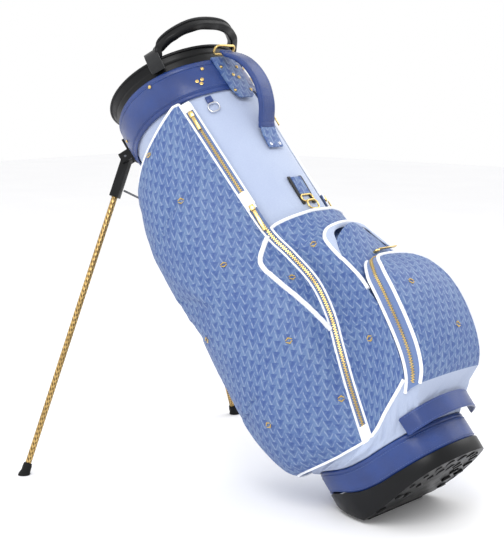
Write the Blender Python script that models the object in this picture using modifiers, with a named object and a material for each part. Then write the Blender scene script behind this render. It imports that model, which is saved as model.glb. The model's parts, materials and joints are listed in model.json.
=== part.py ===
"""Golf stand bag, leaning on its two deployed legs. Metres, +Z up, standing on z = 0.

The bag is drawn upright in its own frame, where x runs towards the ball pocket, y across and z up the bag,
and an empty then leans that frame back onto the legs. An angle of 0 faces the ball pocket, 90 faces -Y.
"""

import math

import bmesh
import bpy
from mathutils import Matrix, Vector

# Stance
LEAN = math.radians(38.3)  # bag axis from the vertical
HEEL_LINE = 0.055  # where the flat base ends and the heel facet begins, behind the bag axis
CENTRE_X = 0.24215
FOOT_BACK = 0.621  # feet behind the heel line
FOOT_SIDE = 0.288  # feet either side of the middle

# Bag section, at the base and at the collar
BASE_CENTRE, COLLAR_CENTRE = 0.005, -0.025
BASE_DEPTH, COLLAR_DEPTH = 0.126, 0.1265
BASE_WIDTH, COLLAR_WIDTH = 0.104, 0.1265
BASE_SQUARE, COLLAR_SQUARE = 2.5, 2.0  # exponent of the superellipse
COLLAR_TOP = 0.840

# Layers, as an offset from the section's outline
TUBE_IN, TUBE_OUT = -0.0085, -0.0055
SOFT_IN = -0.0045
COLLAR_IN = -0.0048
CUFF_IN = -0.0095
GAP = 0.0005

# Heights up the bag
BOOT_TOP = 0.034
BOOT_LEDGE = 0.016  # rim that the body tube and band stand on
BAND_TOP = 0.080
PRINT_LOW = 0.103
CUFF_LOW = 0.797
COLLAR_HEIGHT = 0.068
HEEL_RISE = 0.034  # how much higher boot, band and skirt run at the leg side
PANEL_TOP = 0.490

# Zips: the upper one is straight, the lower one curves round the side pocket
ZIP_HALF, ZIP_CLEAR = 3.0, 0.8  # degrees of the section
SETTLE = 12  # rounds that settle a panel's edge on the curved zip
ZIP_LINE = ((0.09, 75.0), (0.19, 62.0), (0.25, 53.0), (0.31, 44.0), (0.37, 40.5), (0.43, 45.0),
            (0.48, 50.5), (0.56, 52.0), (0.80, 53.0))
ZIP_PROUD = 0.0045
UPPER_ZIP = (0.560, 0.757)
LOWER_ZIP = (0.108, 0.548)

# Side pocket
POCKET_BACK = 152.0
POCKET_PROUD = ((0.09, 0.040), (0.14, 0.066), (0.22, 0.074), (0.40, 0.070), (0.60, 0.062),
                (0.70, 0.048), (0.80, 0.010))

# Ball pocket, from the front
BALL_LOW, BALL_HIGH = 0.131, 0.362
BALL_HALF = ((0.12, 0.090), (0.20, 0.092), (0.27, 0.088), (0.31, 0.079), (0.345, 0.060), (0.364, 0.030))
BALL_FRONT = ((0.12, 0.178), (0.15, 0.207), (0.20, 0.226), (0.27, 0.234), (0.32, 0.226), (0.345, 0.212), (0.366, 0.188))

# Drink pocket
DRINK_LOW, DRINK_HIGH, DRINK_ANGLE = 0.372, 0.438, 27.0
DRINK_WALL = 0.003

# Stand
HINGE_HEIGHT, HINGE_BACK, HINGE_SIDE = 0.806, -0.160, 0.055
LEG_RADIUS = 0.0055
SOCKET_END, TUBE_START, FOOT_START = 0.078, 0.046, 0.596
KNOB_RADIUS, KNOB_HALF = 0.0105, 0.0085
CHEEK_REACH = 0.0178  # how far the bracket's cheeks run in towards the collar
PIN_RADIUS = 0.0025
CLAMP_REACH, CLAMP_INSET = 0.062, 0.0135  # along the leg, and from its axis towards the push rod
YOKE_HEIGHT, YOKE_BACK, YOKE_SIDE = 0.660, -0.152, 0.012
ROD_RADIUS = 0.0025

# Heel plate
PLATE_THICK = 0.006
PLATE_LENGTH = 0.086
PLATE_HALF = 0.078
HEEL_PIN, BARREL_RADIUS = 0.0015, 0.0028

COLLECTION = "golf_stand_bag"
SIDES = (("right", -1.0), ("left", 1.0))

COLOURS = {
    "leather": ((0.055, 0.10, 0.34), 0.45, 0.0),
    "print": ((0.12, 0.20, 0.48), 0.6, 0.0),
    "lavender": ((0.55, 0.60, 0.80), 0.8, 0.0),
    "black_plastic": ((0.012, 0.013, 0.015), 0.4, 0.0),
    "black_webbing": ((0.015, 0.016, 0.018), 0.85, 0.0),
    "gold": ((0.75, 0.55, 0.22), 0.3, 1.0),
    "silver": ((0.75, 0.75, 0.77), 0.25, 1.0),
    "steel": ((0.25, 0.25, 0.26), 0.35, 1.0),
    "rubber": ((0.014, 0.014, 0.015), 0.75, 0.0),
    "lining": ((0.02, 0.02, 0.025), 0.9, 0.0),
    "zip_tape": ((0.30, 0.33, 0.45), 0.8, 0.0),
}


def clear_scene():
    for item in list(bpy.data.objects):
        bpy.data.objects.remove(item, do_unlink=True)


def collection_named(name, hidden=False):
    made = bpy.data.collections.new(name)
    bpy.context.scene.collection.children.link(made)
    made.hide_render = hidden
    return made


def material_named(name):
    if name in bpy.data.materials:
        return bpy.data.materials[name]
    colour, roughness, metallic = COLOURS[name]
    made = bpy.data.materials.new(name)
    made.use_nodes = True
    shader = made.node_tree.nodes["Principled BSDF"]
    shader.inputs["Base Color"].default_value = (*colour, 1.0)
    shader.inputs["Roughness"].default_value = roughness
    shader.inputs["Metallic"].default_value = metallic
    return made


def lerp(a, b, t):
    return a + (b - a) * t


def clamp(t):
    return min(1.0, max(0.0, t))


def ease(t):
    t = clamp(t)
    return t * t * (3.0 - 2.0 * t)


def through(points, x):
    """A smooth curve through (x, y) points, read at x."""
    if x <= points[0][0]:
        return points[0][1]
    if x >= points[-1][0]:
        return points[-1][1]
    last = len(points) - 1
    i = max(k for k in range(last) if points[k][0] <= x)
    (x0, y0), (x1, y1) = points[i], points[i + 1]
    before, after = points[max(i - 1, 0)], points[min(i + 2, last)]
    slope0 = (y1 - before[1]) / (x1 - before[0])
    slope1 = (after[1] - y0) / (after[0] - x0)
    span = x1 - x0
    t = (x - x0) / span
    return ((2 * t**3 - 3 * t**2 + 1) * y0 + (t**3 - 2 * t**2 + t) * span * slope0
            + (3 * t**2 - 2 * t**3) * y1 + (t**3 - t**2) * span * slope1)


def section(height, angle, grow=0.0):
    """A point on the bag's outline at this height and angle in degrees, moved out by grow."""
    t = clamp(height / COLLAR_TOP)
    power = 2.0 / lerp(BASE_SQUARE, COLLAR_SQUARE, t)
    c, s = math.cos(math.radians(angle)), math.sin(math.radians(angle))
    depth = lerp(BASE_DEPTH, COLLAR_DEPTH, t) + grow
    width = lerp(BASE_WIDTH, COLLAR_WIDTH, t) + grow
    x = lerp(BASE_CENTRE, COLLAR_CENTRE, t) + math.copysign(depth * abs(c) ** power, c)
    y = math.copysign(width * abs(s) ** power, -s)
    return Vector((x, y, height))


def new_object(name, data, material, parent):
    made = bpy.data.objects.new(name, data)
    parts.objects.link(made)
    made.data.materials.append(material_named(material))
    made.parent = parent
    return made


def mesh_object(name, bm, material, parent, smooth=35.0):
    bmesh.ops.recalc_face_normals(bm, faces=bm.faces)
    mesh = bpy.data.meshes.new(name)
    bm.to_mesh(mesh)
    bm.free()
    mesh.shade_smooth()
    mesh.set_sharp_from_angle(angle=math.radians(smooth))
    return new_object(name, mesh, material, parent)


def slab(name, material, place, cells, ring=False, parent=None):
    """A closed skin: place(u, v, side) gives its points, u and v from 0 to 1, side 0 inside and 1 outside."""
    bm = bmesh.new()
    bmesh.ops.create_grid(bm, x_segments=cells[0], y_segments=cells[1], size=0.5)
    raised = bmesh.ops.extrude_face_region(bm, geom=list(bm.faces))["geom"]
    for vert in raised:
        if isinstance(vert, bmesh.types.BMVert):
            vert.co.z = 1.0
    if ring:
        ends = [f for f in bm.faces if all(abs(abs(v.co.x) - 0.5) < 1e-5 for v in f.verts)]
        bmesh.ops.delete(bm, geom=ends, context="FACES")
    for vert in bm.verts:
        vert.co = place(vert.co.x + 0.5, vert.co.y + 0.5, vert.co.z)
    if ring:
        bmesh.ops.remove_doubles(bm, verts=bm.verts, dist=1e-5)
    return mesh_object(name, bm, material, parent or bag)


def strap(name, material, route, width, thick, cells=(2, 20), parent=None):
    """A flat strap: route(t) gives its middle, across and outward directions; thick(t) its thickness."""

    def place(u, v, side):
        middle, across, outward = route(v)
        return middle + across * (u - 0.5) * width(v) + outward * (side - 0.5) * thick(v)

    return slab(name, material, place, cells, parent=parent)


def smooth_route(points, t):
    """A point on a smooth curve through these points, t from 0 to 1."""
    span = t * (len(points) - 1)
    return Vector([through([(i, p[axis]) for i, p in enumerate(points)], span) for axis in range(3)])


def turned(name, material, profile, at, along, parent, steps=20):
    """A turned piece: profile holds (radius, distance along), from its top down."""
    mesh = bpy.data.meshes.new(name)
    verts = [(radius, 0.0, distance) for radius, distance in profile]
    mesh.from_pydata(verts, [(i, i + 1) for i in range(len(verts) - 1)], [])
    made = new_object(name, mesh, material, parent)
    made.location = at
    made.rotation_euler = along.to_track_quat("Z", "Y").to_euler()
    screw = made.modifiers.new("Turn", "SCREW")
    screw.steps = screw.render_steps = steps
    screw.use_merge_vertices = True
    screw.merge_threshold = 1e-5
    return made


def wire(name, material, points, radius, parent, closed=False, sides=2):
    curve = bpy.data.curves.new(name, "CURVE")
    curve.dimensions = "3D"
    curve.bevel_depth = radius
    curve.bevel_resolution = sides
    curve.use_fill_caps = not closed
    spline = curve.splines.new("POLY")
    spline.points.add(len(points) - 1)
    for point, place in zip(spline.points, points):
        point.co = (*place, 1.0)
    spline.use_cyclic_u = closed
    return new_object(name, curve, material, parent)


def block(name, material, size, at, turn=None, parent=None, bevel=0.0):
    """A box of this size, at this place, its axes turned by a 3 x 3 matrix."""
    bm = bmesh.new()
    bmesh.ops.create_cube(bm, size=1.0)
    bmesh.ops.scale(bm, vec=size, verts=bm.verts)
    made = mesh_object(name, bm, material, parent or bag)
    made.matrix_basis = Matrix.Translation(at) @ (turn.to_4x4() if turn else Matrix())
    if bevel:
        rounded = made.modifiers.new("Edges", "BEVEL")
        rounded.width = bevel
        rounded.segments = 2
    return made


def cutter(made):
    parts.objects.unlink(made)
    cutters.objects.link(made)
    made.hide_render = True
    made.display_type = "WIRE"
    return made


def boolean(target, other, operation):
    made = target.modifiers.new(operation.title(), "BOOLEAN")
    made.object = cutter(other)
    made.operation = operation
    made.solver = "EXACT"


def empty(name, at, parent):
    made = bpy.data.objects.new(name, None)
    parts.objects.link(made)
    made.location = at
    made.parent = parent
    return made


def frame_of(direction, other):
    """Axes with Z along direction and X as near to other as it can be."""
    z = direction.normalized()
    x = (other - z * other.dot(z)).normalized()
    return Matrix((x, z.cross(x), z)).transposed()


def rise(angle):
    return HEEL_RISE * ease((abs(wrapped(angle)) - 80.0) / 55.0)


def wrapped(angle):
    return (angle + 180.0) % 360.0 - 180.0


def zip_angle(height):
    return through(ZIP_LINE, height)


# ---- base ----

def base_boot():
    """The moulded boot, cut back at the heel to make room for the plate that the bag rocks onto."""
    bm = bmesh.new()
    bmesh.ops.create_cone(bm, cap_ends=True, segments=48, radius1=1, radius2=1, depth=1)
    for vert in bm.verts:
        angle = -math.degrees(math.atan2(vert.co.y, vert.co.x))
        if vert.co.z > 0:
            vert.co = section(BOOT_TOP + rise(angle), angle, 0.0035)
        else:
            vert.co = section(0.0, angle, 0.0025)
    up = Vector((math.sin(LEAN), 0.0, math.cos(LEAN)))
    seat = Vector((-HEEL_LINE, 0.0, 0.0)) + up * (PLATE_THICK + GAP)
    cut = bmesh.ops.bisect_plane(bm, geom=bm.verts[:] + bm.edges[:] + bm.faces[:], plane_co=seat,
                                 plane_no=-up, clear_outer=True)
    rim = [e for e in cut["geom_cut"] if isinstance(e, bmesh.types.BMEdge)]
    bmesh.ops.edgeloop_fill(bm, edges=rim)
    lid = max((f for f in bm.faces if len(f.verts) > 20), key=lambda f: f.calc_center_median().z)
    bmesh.ops.inset_region(bm, faces=[lid], thickness=BOOT_LEDGE, use_even_offset=True)
    for vert in lid.verts:
        vert.co.z -= 0.002 + 0.45 * (vert.co.z - BOOT_TOP)
    return mesh_object("base_boot", bm, "black_plastic", bag)


def leather_band():
    def place(u, v, side):
        angle = 360.0 * u
        low, high = BOOT_TOP + 0.001, BAND_TOP - 0.2 * rise(angle)
        return section(lerp(low, high, v) + rise(angle), angle, lerp(-0.0045, 0.0015, side))

    slab("leather_band", "leather", place, (48, 2), ring=True)


def skirt_proud(angle):
    """How far the skirt stands out where it meets the pockets: most below the ball pocket."""
    turn = abs(wrapped(angle))
    return 0.001 + 0.034 * ease((52.0 - turn) / 34.0) + 0.010 * ease((turn - 62.0) / 20.0)


def print_low(angle):
    """The lower edge of the printed panels: it climbs beside the ball pocket."""
    turn = abs(wrapped(angle))
    return PRINT_LOW + 0.5 * rise(angle) + (BALL_LOW - PRINT_LOW) * ease((62.0 - turn) / 28.0)


def skirt():
    def place(u, v, side):
        angle = 360.0 * u
        low = BAND_TOP + 0.8 * rise(angle) + 0.001
        high = print_low(angle) - 0.002
        proud = lerp(0.0005, skirt_proud(angle), v)
        return section(lerp(low, high, v), angle, proud if side else -0.0042)

    slab("skirt", "lavender", place, (48, 3), ring=True)


def base_strap():
    """The leather loop across the front of the base, standing clear for a hand."""
    ends = [(0.112, -0.093, 0.088), (0.137, -0.074, 0.090), (0.153, -0.042, 0.092), (0.158, 0.0, 0.093)]
    points = ends + [(x, -y, z) for x, y, z in reversed(ends[:-1])]

    def route(t):
        middle = smooth_route(points, t)
        ahead = smooth_route(points, min(t + 0.01, 1.0)) - smooth_route(points, max(t - 0.01, 0.0))
        across = Vector((0.0, 0.0, 1.0))
        return middle, across, ahead.normalized().cross(across)

    strap("base_strap", "leather", route, lambda t: 0.031, lambda t: 0.003, cells=(1, 18))


# ---- body ----

def body_tube():
    def place(u, v, side):
        angle = 360.0 * u
        low = BOOT_TOP + rise(angle) + 0.001
        return section(lerp(low, CUFF_LOW - GAP, v), angle, TUBE_OUT if side else TUBE_IN)

    slab("body_tube", "lavender", place, (48, 6), ring=True)


def collar_edge(angle):
    turn = math.radians(angle)
    return COLLAR_TOP - 0.003 + 0.003 * math.cos(turn) - 0.008 * math.cos(2.0 * turn)


def collar():
    def place(u, v, side):
        angle = 360.0 * u
        height = collar_edge(angle) - COLLAR_HEIGHT * (1.0 - v)
        return section(height, angle, 0.0 if side else COLLAR_IN)

    slab("collar", "leather", place, (48, 2), ring=True)


def cuff_edge(angle):
    turn = math.radians(angle)
    return 0.870 - 0.002 * math.cos(turn) - 0.0045 * math.cos(2.0 * turn)


def cuff():
    """The moulded top: straight inside the collar, then flared to its rim."""

    def place(u, v, side):
        angle = 360.0 * u
        height = lerp(CUFF_LOW, cuff_edge(angle), v)
        flare = 0.0055 * ease((height - 0.850) / 0.030)
        return section(height, angle, (TUBE_OUT if side else CUFF_IN) + flare)

    slab("cuff", "black_plastic", place, (48, 6), ring=True)


DIVIDER_TOP, DIVIDER_DEPTH = 0.852, 0.030
CROSS_BARS = (-0.075, 0.030)
CURTAIN_LOW, CURTAIN_DEPTH = 0.30, 0.200


def divider():
    """One long bar and two cross bars, moulded as a single frame that drops into the cuff."""
    long_half = COLLAR_DEPTH + CUFF_IN - 0.001
    height = DIVIDER_TOP - DIVIDER_DEPTH / 2
    bar = block("divider_frame", "lining", (2 * long_half, 0.010, DIVIDER_DEPTH),
                (COLLAR_CENTRE, 0.0, height))
    for i, x in enumerate(CROSS_BARS):
        chord = math.sqrt(long_half**2 - (x - COLLAR_CENTRE + math.copysign(0.005, x)) ** 2)
        cross = block(f"divider_cross_{i}", "lining", (0.010, 2 * chord, DIVIDER_DEPTH), (x, 0.0, height))
        boolean(bar, cross, "UNION")
    curtain_low, curtain_high = CURTAIN_LOW, DIVIDER_TOP - DIVIDER_DEPTH - GAP
    block("divider_curtain_long", "lining", (CURTAIN_DEPTH, 0.002, curtain_high - curtain_low),
          (-0.014, 0.0, (curtain_high + curtain_low) / 2))
    for i, x in enumerate(CROSS_BARS):
        for side, sign in SIDES:
            width = 0.078
            block(f"divider_curtain_{side}_{i + 1}", "lining",
                  (0.002, width, curtain_high - curtain_low),
                  (x, sign * (width / 2 + 0.002), (curtain_high + curtain_low) / 2))


# ---- pockets and panels ----

def side_pocket(side, sign):
    """The tall apparel pocket: flat along its zip, fullest towards the leg side."""

    def place(u, v, layer):
        height = lerp(PRINT_LOW, 0.78, v)
        for _ in range(SETTLE):
            angle = lerp(zip_angle(height) + ZIP_HALF + ZIP_CLEAR, POCKET_BACK, u)
            high = collar_edge(angle) - COLLAR_HEIGHT - 0.002 - 0.0013 * max(0.0, angle - 62.0)
            height = lerp(print_low(angle), high, v)
        swell = math.sin(math.pi * clamp(u) ** 1.35) ** 0.75
        edge = min(1.0, 4.5 * min(v, 1.0 - v)) ** 0.5
        proud = 0.0035 + through(POCKET_PROUD, height) * swell * lerp(0.6, 1.0, edge)
        point = section(height, angle, proud if layer else SOFT_IN)
        return Vector((point.x, -sign * point.y, point.z))

    slab(f"side_pocket_{side}", "print", place, (12, 16))


def zip_strip(name, heights, sign):
    def place(u, v, layer):
        height = lerp(*heights, v)
        angle = zip_angle(height) + lerp(-ZIP_HALF, ZIP_HALF, u)
        point = section(height, angle, ZIP_PROUD if layer else SOFT_IN)
        return Vector((point.x, -sign * point.y, point.z))

    slab(name, "zip_tape", place, (1, 14))


def front_panel():
    """The printed panel between the two lower zips."""

    def place(u, v, side):
        height = lerp(PRINT_LOW, PANEL_TOP, v)
        for _ in range(SETTLE):
            angle = lerp(-1.0, 1.0, u) * (zip_angle(height) - ZIP_HALF - ZIP_CLEAR)
            height = lerp(print_low(angle), PANEL_TOP, v)
        return section(height, angle, 0.005 if side else SOFT_IN)

    slab("front_panel", "print", place, (14, 14))


def drink_pocket():
    """An open-topped pouch on the front panel, flaring upwards."""

    def shape(shrink, low, high):
        def place(u, v, side):
            angle = lerp(-1.0, 1.0, u) * (DRINK_ANGLE - shrink * 500.0)
            height = lerp(low, high, v)
            swell = math.cos(math.pi * 0.42 * lerp(-1.0, 1.0, u)) ** 0.6
            proud = lerp(0.053, 0.048, v) * swell - shrink
            return section(height, angle, proud if side else 0.0062 + shrink * 0.5)

        return place

    pouch = slab("drink_pocket", "print", shape(0.0, DRINK_LOW, DRINK_HIGH), (12, 4))
    inside = slab("drink_inside", "print",
                  shape(DRINK_WALL, DRINK_LOW + DRINK_WALL, DRINK_HIGH + 0.02), (12, 4))
    boolean(pouch, inside, "DIFFERENCE")


def ball_pocket():
    def place(u, v, side):
        height = lerp(BALL_LOW, BALL_HIGH, v)
        across = lerp(-1.0, 1.0, u)
        y = across * through(BALL_HALF, height)
        angle = math.degrees(math.asin(clamp(abs(y) / 0.125)))
        back = section(height, math.copysign(angle, y), 0.0085).x
        front = through(BALL_FRONT, height) - 0.016 * across**2
        return Vector((front if side else max(back, 0.08), y, height))

    slab("ball_pocket", "print", place, (10, 12))


# ---- handles and hardware ----

def grab_handle():
    """The moulded grip over webbing, an arch over the front of the rim."""
    half = [(0.060, -0.091, 0.877), (0.086, -0.077, 0.887), (0.109, -0.042, 0.893), (0.114, 0.0, 0.896)]
    points = half + [(x, -y, z) for x, y, z in reversed(half[:-1])]

    def route(t):
        middle = smooth_route(points, t)
        ahead = (smooth_route(points, min(t + 0.02, 1.0)) - smooth_route(points, max(t - 0.02, 0.0)))
        ahead.normalize()
        across = Vector((1.0, 0.0, 0.1)) - ahead * ahead.x
        across.normalize()
        return middle, across, ahead.cross(across)

    strap("grab_handle", "black_webbing", route, lambda t: 0.016,
          lambda t: 0.021 - 0.004 * abs(2 * t - 1), cells=(2, 20))


def handle_tab():
    def place(u, v, side):
        angle = lerp(-13.0, 13.0, u) * lerp(0.8, 1.0, v)
        return section(lerp(0.744, 0.832, v), angle, lerp(GAP, 0.0035, side))

    slab("handle_tab", "print", place, (4, 4))


def carry_handle():
    """The padded leather handle: its foot is riveted to the body, its head hangs on the gold ring."""
    points = [(0.1084, 0.0, 0.634), (0.1090, 0.0, 0.655), (0.120, 0.0, 0.678), (0.138, 0.0, 0.703),
              (0.149, 0.0, 0.737), (0.150, 0.0, 0.768), (0.143, 0.0, 0.795), (0.131, 0.0, 0.8145),
              (0.1210, 0.0, 0.8275)]

    def route(t):
        middle = smooth_route(points, t)
        ahead = smooth_route(points, min(t + 0.01, 1.0)) - smooth_route(points, max(t - 0.01, 0.0))
        across = Vector((0.0, 1.0, 0.0))
        return middle, across, across.cross(ahead.normalized())

    strap("carry_handle", "leather", route, lambda t: lerp(0.030, 0.038, ease((t - 0.1) / 0.1)),
          lambda t: lerp(0.004, 0.009, ease((t - 0.12) / 0.1)), cells=(2, 22))


def rounded_loop(width, height, radius, steps=4):
    """A closed rounded rectangle in the y-z plane, as (y, z) pairs."""
    points = []
    for k, (sy, sz) in enumerate(((1, 1), (-1, 1), (-1, -1), (1, -1))):
        for i in range(steps + 1):
            turn = math.radians(90.0 * (k + i / steps))
            points.append((sy * (width / 2 - radius) + radius * math.cos(turn),
                           sz * (height / 2 - radius) + radius * math.sin(turn)))
    return points


def ring(name, material, middle, tilt, size, radius, parent=None):
    """A wire loop: tilt turns the y-z rectangle about the y axis."""
    turn = Matrix.Rotation(tilt, 3, "Y")
    points = [turn @ Vector((0.0, y, z)) for y, z in rounded_loop(*size, min(size) * 0.35)]
    made = wire(name, material, points, radius, parent or bag, closed=True, sides=1)
    made.location = middle
    return made


def hardware():
    ring("handle_ring", "gold", Vector((0.1155, 0.0, 0.8405)), math.radians(70.0), (0.050, 0.018), 0.0022)
    spine = section(0.53, 0.0, TUBE_OUT).x
    block("anchor_tab", "print", (0.004, 0.026, 0.034), (spine + 0.0028, 0.0, 0.549), bevel=0.001)
    ring("anchor_frame", "gold", Vector((spine + 0.0034, 0.0, 0.5235)), 0.0, (0.030, 0.013), 0.0016)
    pivot = empty("anchor_ring_pivot", Vector((spine + 0.0075, 0.0, 0.517)), bag)
    ring("anchor_ring", "gold", Vector((0.0, 0.0, -0.0095)), 0.0, (0.026, 0.018), 0.0016, pivot)
    for side, sign in SIDES:
        place = section(0.757, -sign * -33.0, 0.0)
        place.y = sign * abs(place.y)
        outward = Vector((place.x - COLLAR_CENTRE, place.y, 0.0)).normalized()
        turn = frame_of(Vector((0.0, 0.0, 1.0)), outward)
        block(f"ring_tab_{side}", "leather", (0.003, 0.012, 0.013), place - outward * 0.0025, turn)
        pivot = empty(f"collar_ring_{side}_pivot", place + Vector((0.0, 0.0, -0.0095)), bag)
        pivot.rotation_euler = turn.to_euler()
        ring(f"collar_ring_{side}", "silver", Vector((0.0, 0.0, -0.008)), 0.0, (0.020, 0.017), 0.0014, pivot)


ZIP_SPOTS = (("upper", 0.742, 0.026), ("lower", 0.538, 0.040))  # zip, height and length of the pull
BALL_PULL = 0.052


def zip_pulls():
    """A slider on each zip, and the pull that hangs from it."""
    for side, sign in SIDES:
        for level, height, reach in ZIP_SPOTS:
            place = section(height, zip_angle(height), 0.0)
            place.y = sign * abs(place.y)
            outward = Vector((place.x - COLLAR_CENTRE, place.y, 0.0)).normalized()
            slider_and_pull(f"{level}_{side}", place + outward * (ZIP_PROUD + 0.0026), outward, reach)
    slider_and_pull("ball", Vector((0.1765, 0.0, BALL_HIGH + 0.0072)), Vector((0.0, 0.0, 1.0)), BALL_PULL,
                    down=Vector((0.0, 1.0, 0.0)))


def slider_and_pull(name, at, outward, reach, down=None):
    down = down or Vector((0.0, 0.0, -1.0))
    turn = frame_of(-down, outward)
    block(f"zip_slider_{name}", "gold", (0.004, 0.009, 0.011), at, turn, bevel=0.0012)
    pivot = empty(f"zip_pull_{name}_pivot", at + outward * 0.0028 + down * 0.0062, bag)
    pivot.rotation_euler = turn.to_euler()
    block(f"zip_pull_{name}", "gold", (0.0018, 0.006, reach), (0.0, 0.0, -0.0005 - reach / 2), None, pivot,
          bevel=0.0006)


# ---- stand ----

def leg_geometry(sign):
    """The hinge, the leg's direction when deployed and the hinge axis, in the bag's frame."""
    hinge = Vector((HINGE_BACK, sign * HINGE_SIDE, HINGE_HEIGHT))
    foot = bag.matrix_world.inverted() @ Vector((CENTRE_X - FOOT_BACK, sign * FOOT_SIDE, 0.0))
    reach = foot - hinge
    folded = Vector((-0.035, sign * 0.02, -1.0)).normalized()
    return hinge, reach.normalized(), folded.cross(reach).normalized(), reach.length


def stand_bracket():
    def place(u, v, side):
        angle = lerp(146.0, 214.0, u)
        return section(lerp(0.782, 0.830, v), angle, lerp(GAP, 0.0065, side))

    plate = slab("stand_bracket", "black_plastic", place, (10, 2))
    for side, sign in SIDES:
        hinge, _, axis, _ = leg_geometry(sign)
        turn = frame_of(axis, Vector((1.0, 0.0, 0.0)))
        for end in (-1.0, 1.0):
            inward = turn @ Vector((CHEEK_REACH - KNOB_RADIUS, 0.0, 0.0)) / 2
            cheek = block(f"cheek_{side}_{end:.0f}", "black_plastic",
                          (CHEEK_REACH + KNOB_RADIUS, 0.020, 0.004),
                          hinge + inward + axis * end * (KNOB_HALF + 0.0026), turn)
            boolean(plate, cheek, "UNION")
        bore = turned(f"bracket_bore_{side}", "black_plastic", pin_profile(PIN_RADIUS + 0.0004, 0.03),
                      hinge, axis, bag, steps=12)
        boolean(plate, bore, "DIFFERENCE")


def pin_profile(radius, length):
    return [(0.0, length / 2), (radius, length / 2), (radius, -length / 2), (0.0, -length / 2)]


def leg(side, sign):
    hinge, along, axis, length = leg_geometry(sign)
    pivot = empty(f"leg_{side}_pivot", hinge, bag)
    turned(f"leg_pin_{side}", "steel", pin_profile(PIN_RADIUS, 2 * (KNOB_HALF + 0.0045)), hinge, axis, bag,
           steps=12)
    knob = turned(f"leg_socket_{side}", "black_plastic", pin_profile(KNOB_RADIUS, 2 * KNOB_HALF),
                  Vector(), axis, pivot)
    turn = frame_of(along, axis)
    body_start = 0.004
    arm = block(f"socket_arm_{side}", "black_plastic", (0.016, 0.017, SOCKET_END - body_start),
                along * (SOCKET_END + body_start) / 2, turn, pivot)
    boolean(knob, arm, "UNION")
    bore = turned(f"socket_bore_{side}", "black_plastic", pin_profile(LEG_RADIUS + 0.0004, 0.05),
                  along * (TUBE_START + 0.025 - 0.0005), along, pivot, steps=16)
    boolean(knob, bore, "DIFFERENCE")
    pin_hole = turned(f"socket_pin_hole_{side}", "black_plastic", pin_profile(PIN_RADIUS + 0.0004, 0.03),
                      Vector(), axis, pivot, steps=12)
    boolean(knob, pin_hole, "DIFFERENCE")
    tube_end = length - 0.022
    half = (tube_end - TUBE_START) / 2
    turned(f"leg_tube_{side}", "gold", pin_profile(LEG_RADIUS, 2 * half), along * (TUBE_START + half),
           along, pivot, steps=16)
    foot_profile = [(0.0, 0.0), (0.0075, 0.0), (0.0085, -0.006), (0.0085, -0.014), (0.0112, -0.0215),
                    (0.0115, -0.030), (0.0, -0.030)]
    foot = turned(f"leg_foot_{side}", "rubber", foot_profile, along * (tube_end + GAP), -along, pivot)
    ground = block(f"ground_{side}", "rubber", (0.2, 0.2, 0.1),
                   (CENTRE_X - FOOT_BACK, sign * FOOT_SIDE, -0.05))
    ground.parent = None
    boolean(foot, ground, "DIFFERENCE")


def push_rod():
    """The rod that the heel plate pulls, and the two links that swing the legs out from its yoke."""
    low = 0.112
    base = Vector((YOKE_BACK, 0.0, low))
    rod = turned("push_rod", "steel", pin_profile(ROD_RADIUS, YOKE_HEIGHT - low),
                 base + Vector((0.0, 0.0, (YOKE_HEIGHT - low) / 2)), Vector((0.0, 0.0, 1.0)), bag, steps=12)
    yoke = block("yoke", "steel", (0.006, 2 * YOKE_SIDE, 0.008), (YOKE_BACK, 0.0, YOKE_HEIGHT - 0.002))
    boolean(rod, yoke, "UNION")
    for side, sign in SIDES:
        hinge, along, axis, _ = leg_geometry(sign)
        clamp_point = hinge + along * CLAMP_REACH - axis.cross(along) * CLAMP_INSET
        start = Vector((YOKE_BACK, sign * (YOKE_SIDE + 0.003), YOKE_HEIGHT))
        pivot = empty(f"spreader_{side}_pivot", start, bag)
        wire(f"spreader_{side}", "steel", [Vector(), clamp_point - start], 0.002, pivot)


def rod_guides():
    for name, height in (("upper", 0.560), ("lower", 0.200)):
        surface = section(height, 180.0, TUBE_OUT).x
        depth = abs(YOKE_BACK - surface) + 0.005
        guide = block(f"rod_guide_{name}", "black_plastic", (depth, 0.016, 0.018),
                      (surface - GAP - depth / 2, 0.0, height))
        bore = turned(f"guide_bore_{name}", "black_plastic", pin_profile(ROD_RADIUS + 0.0006, 0.04),
                      Vector((YOKE_BACK, 0.0, height)), Vector((0.0, 0.0, 1.0)), bag, steps=12)
        boolean(guide, bore, "DIFFERENCE")


def heel_plate():
    """The rocker that lies flat on the ground while the bag leans; it drops open as the bag stands up."""
    pivot = empty("heel_plate_pivot", Vector((CENTRE_X, 0.0, PLATE_THICK / 2)), None)

    def place(u, v, side):
        x = -PLATE_LENGTH * v
        half = PLATE_HALF * math.sqrt(1.0 - 0.93 * max(0.0, (v - 0.2) / 0.8) ** 2)
        return Vector((x, half * lerp(-1.0, 1.0, u), PLATE_THICK * (side - 0.5)))

    plate = slab("heel_plate", "rubber", place, (1, 10), parent=pivot)
    across = Vector((0.0, 1.0, 0.0))
    barrel = turned("heel_barrel", "rubber", pin_profile(BARREL_RADIUS, 2 * PLATE_HALF - 0.004), Vector(),
                    across, pivot, steps=16)
    boolean(plate, barrel, "UNION")
    bore = turned("heel_bore", "rubber", pin_profile(HEEL_PIN + 0.0003, 3 * PLATE_HALF), Vector(), across,
                  pivot, steps=12)
    boolean(plate, bore, "DIFFERENCE")
    turned("heel_pin", "steel", pin_profile(HEEL_PIN, 2 * PLATE_HALF + 0.004), Vector(), across, pivot,
           steps=12)


clear_scene()
parts = collection_named(COLLECTION)
cutters = collection_named("cutters", hidden=True)
bag = empty("bag_frame", Vector((CENTRE_X + HEEL_LINE * math.cos(LEAN), 0.0, HEEL_LINE * math.sin(LEAN))), None)
bag.rotation_euler = (0.0, -LEAN, 0.0)
bpy.context.view_layer.update()

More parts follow.
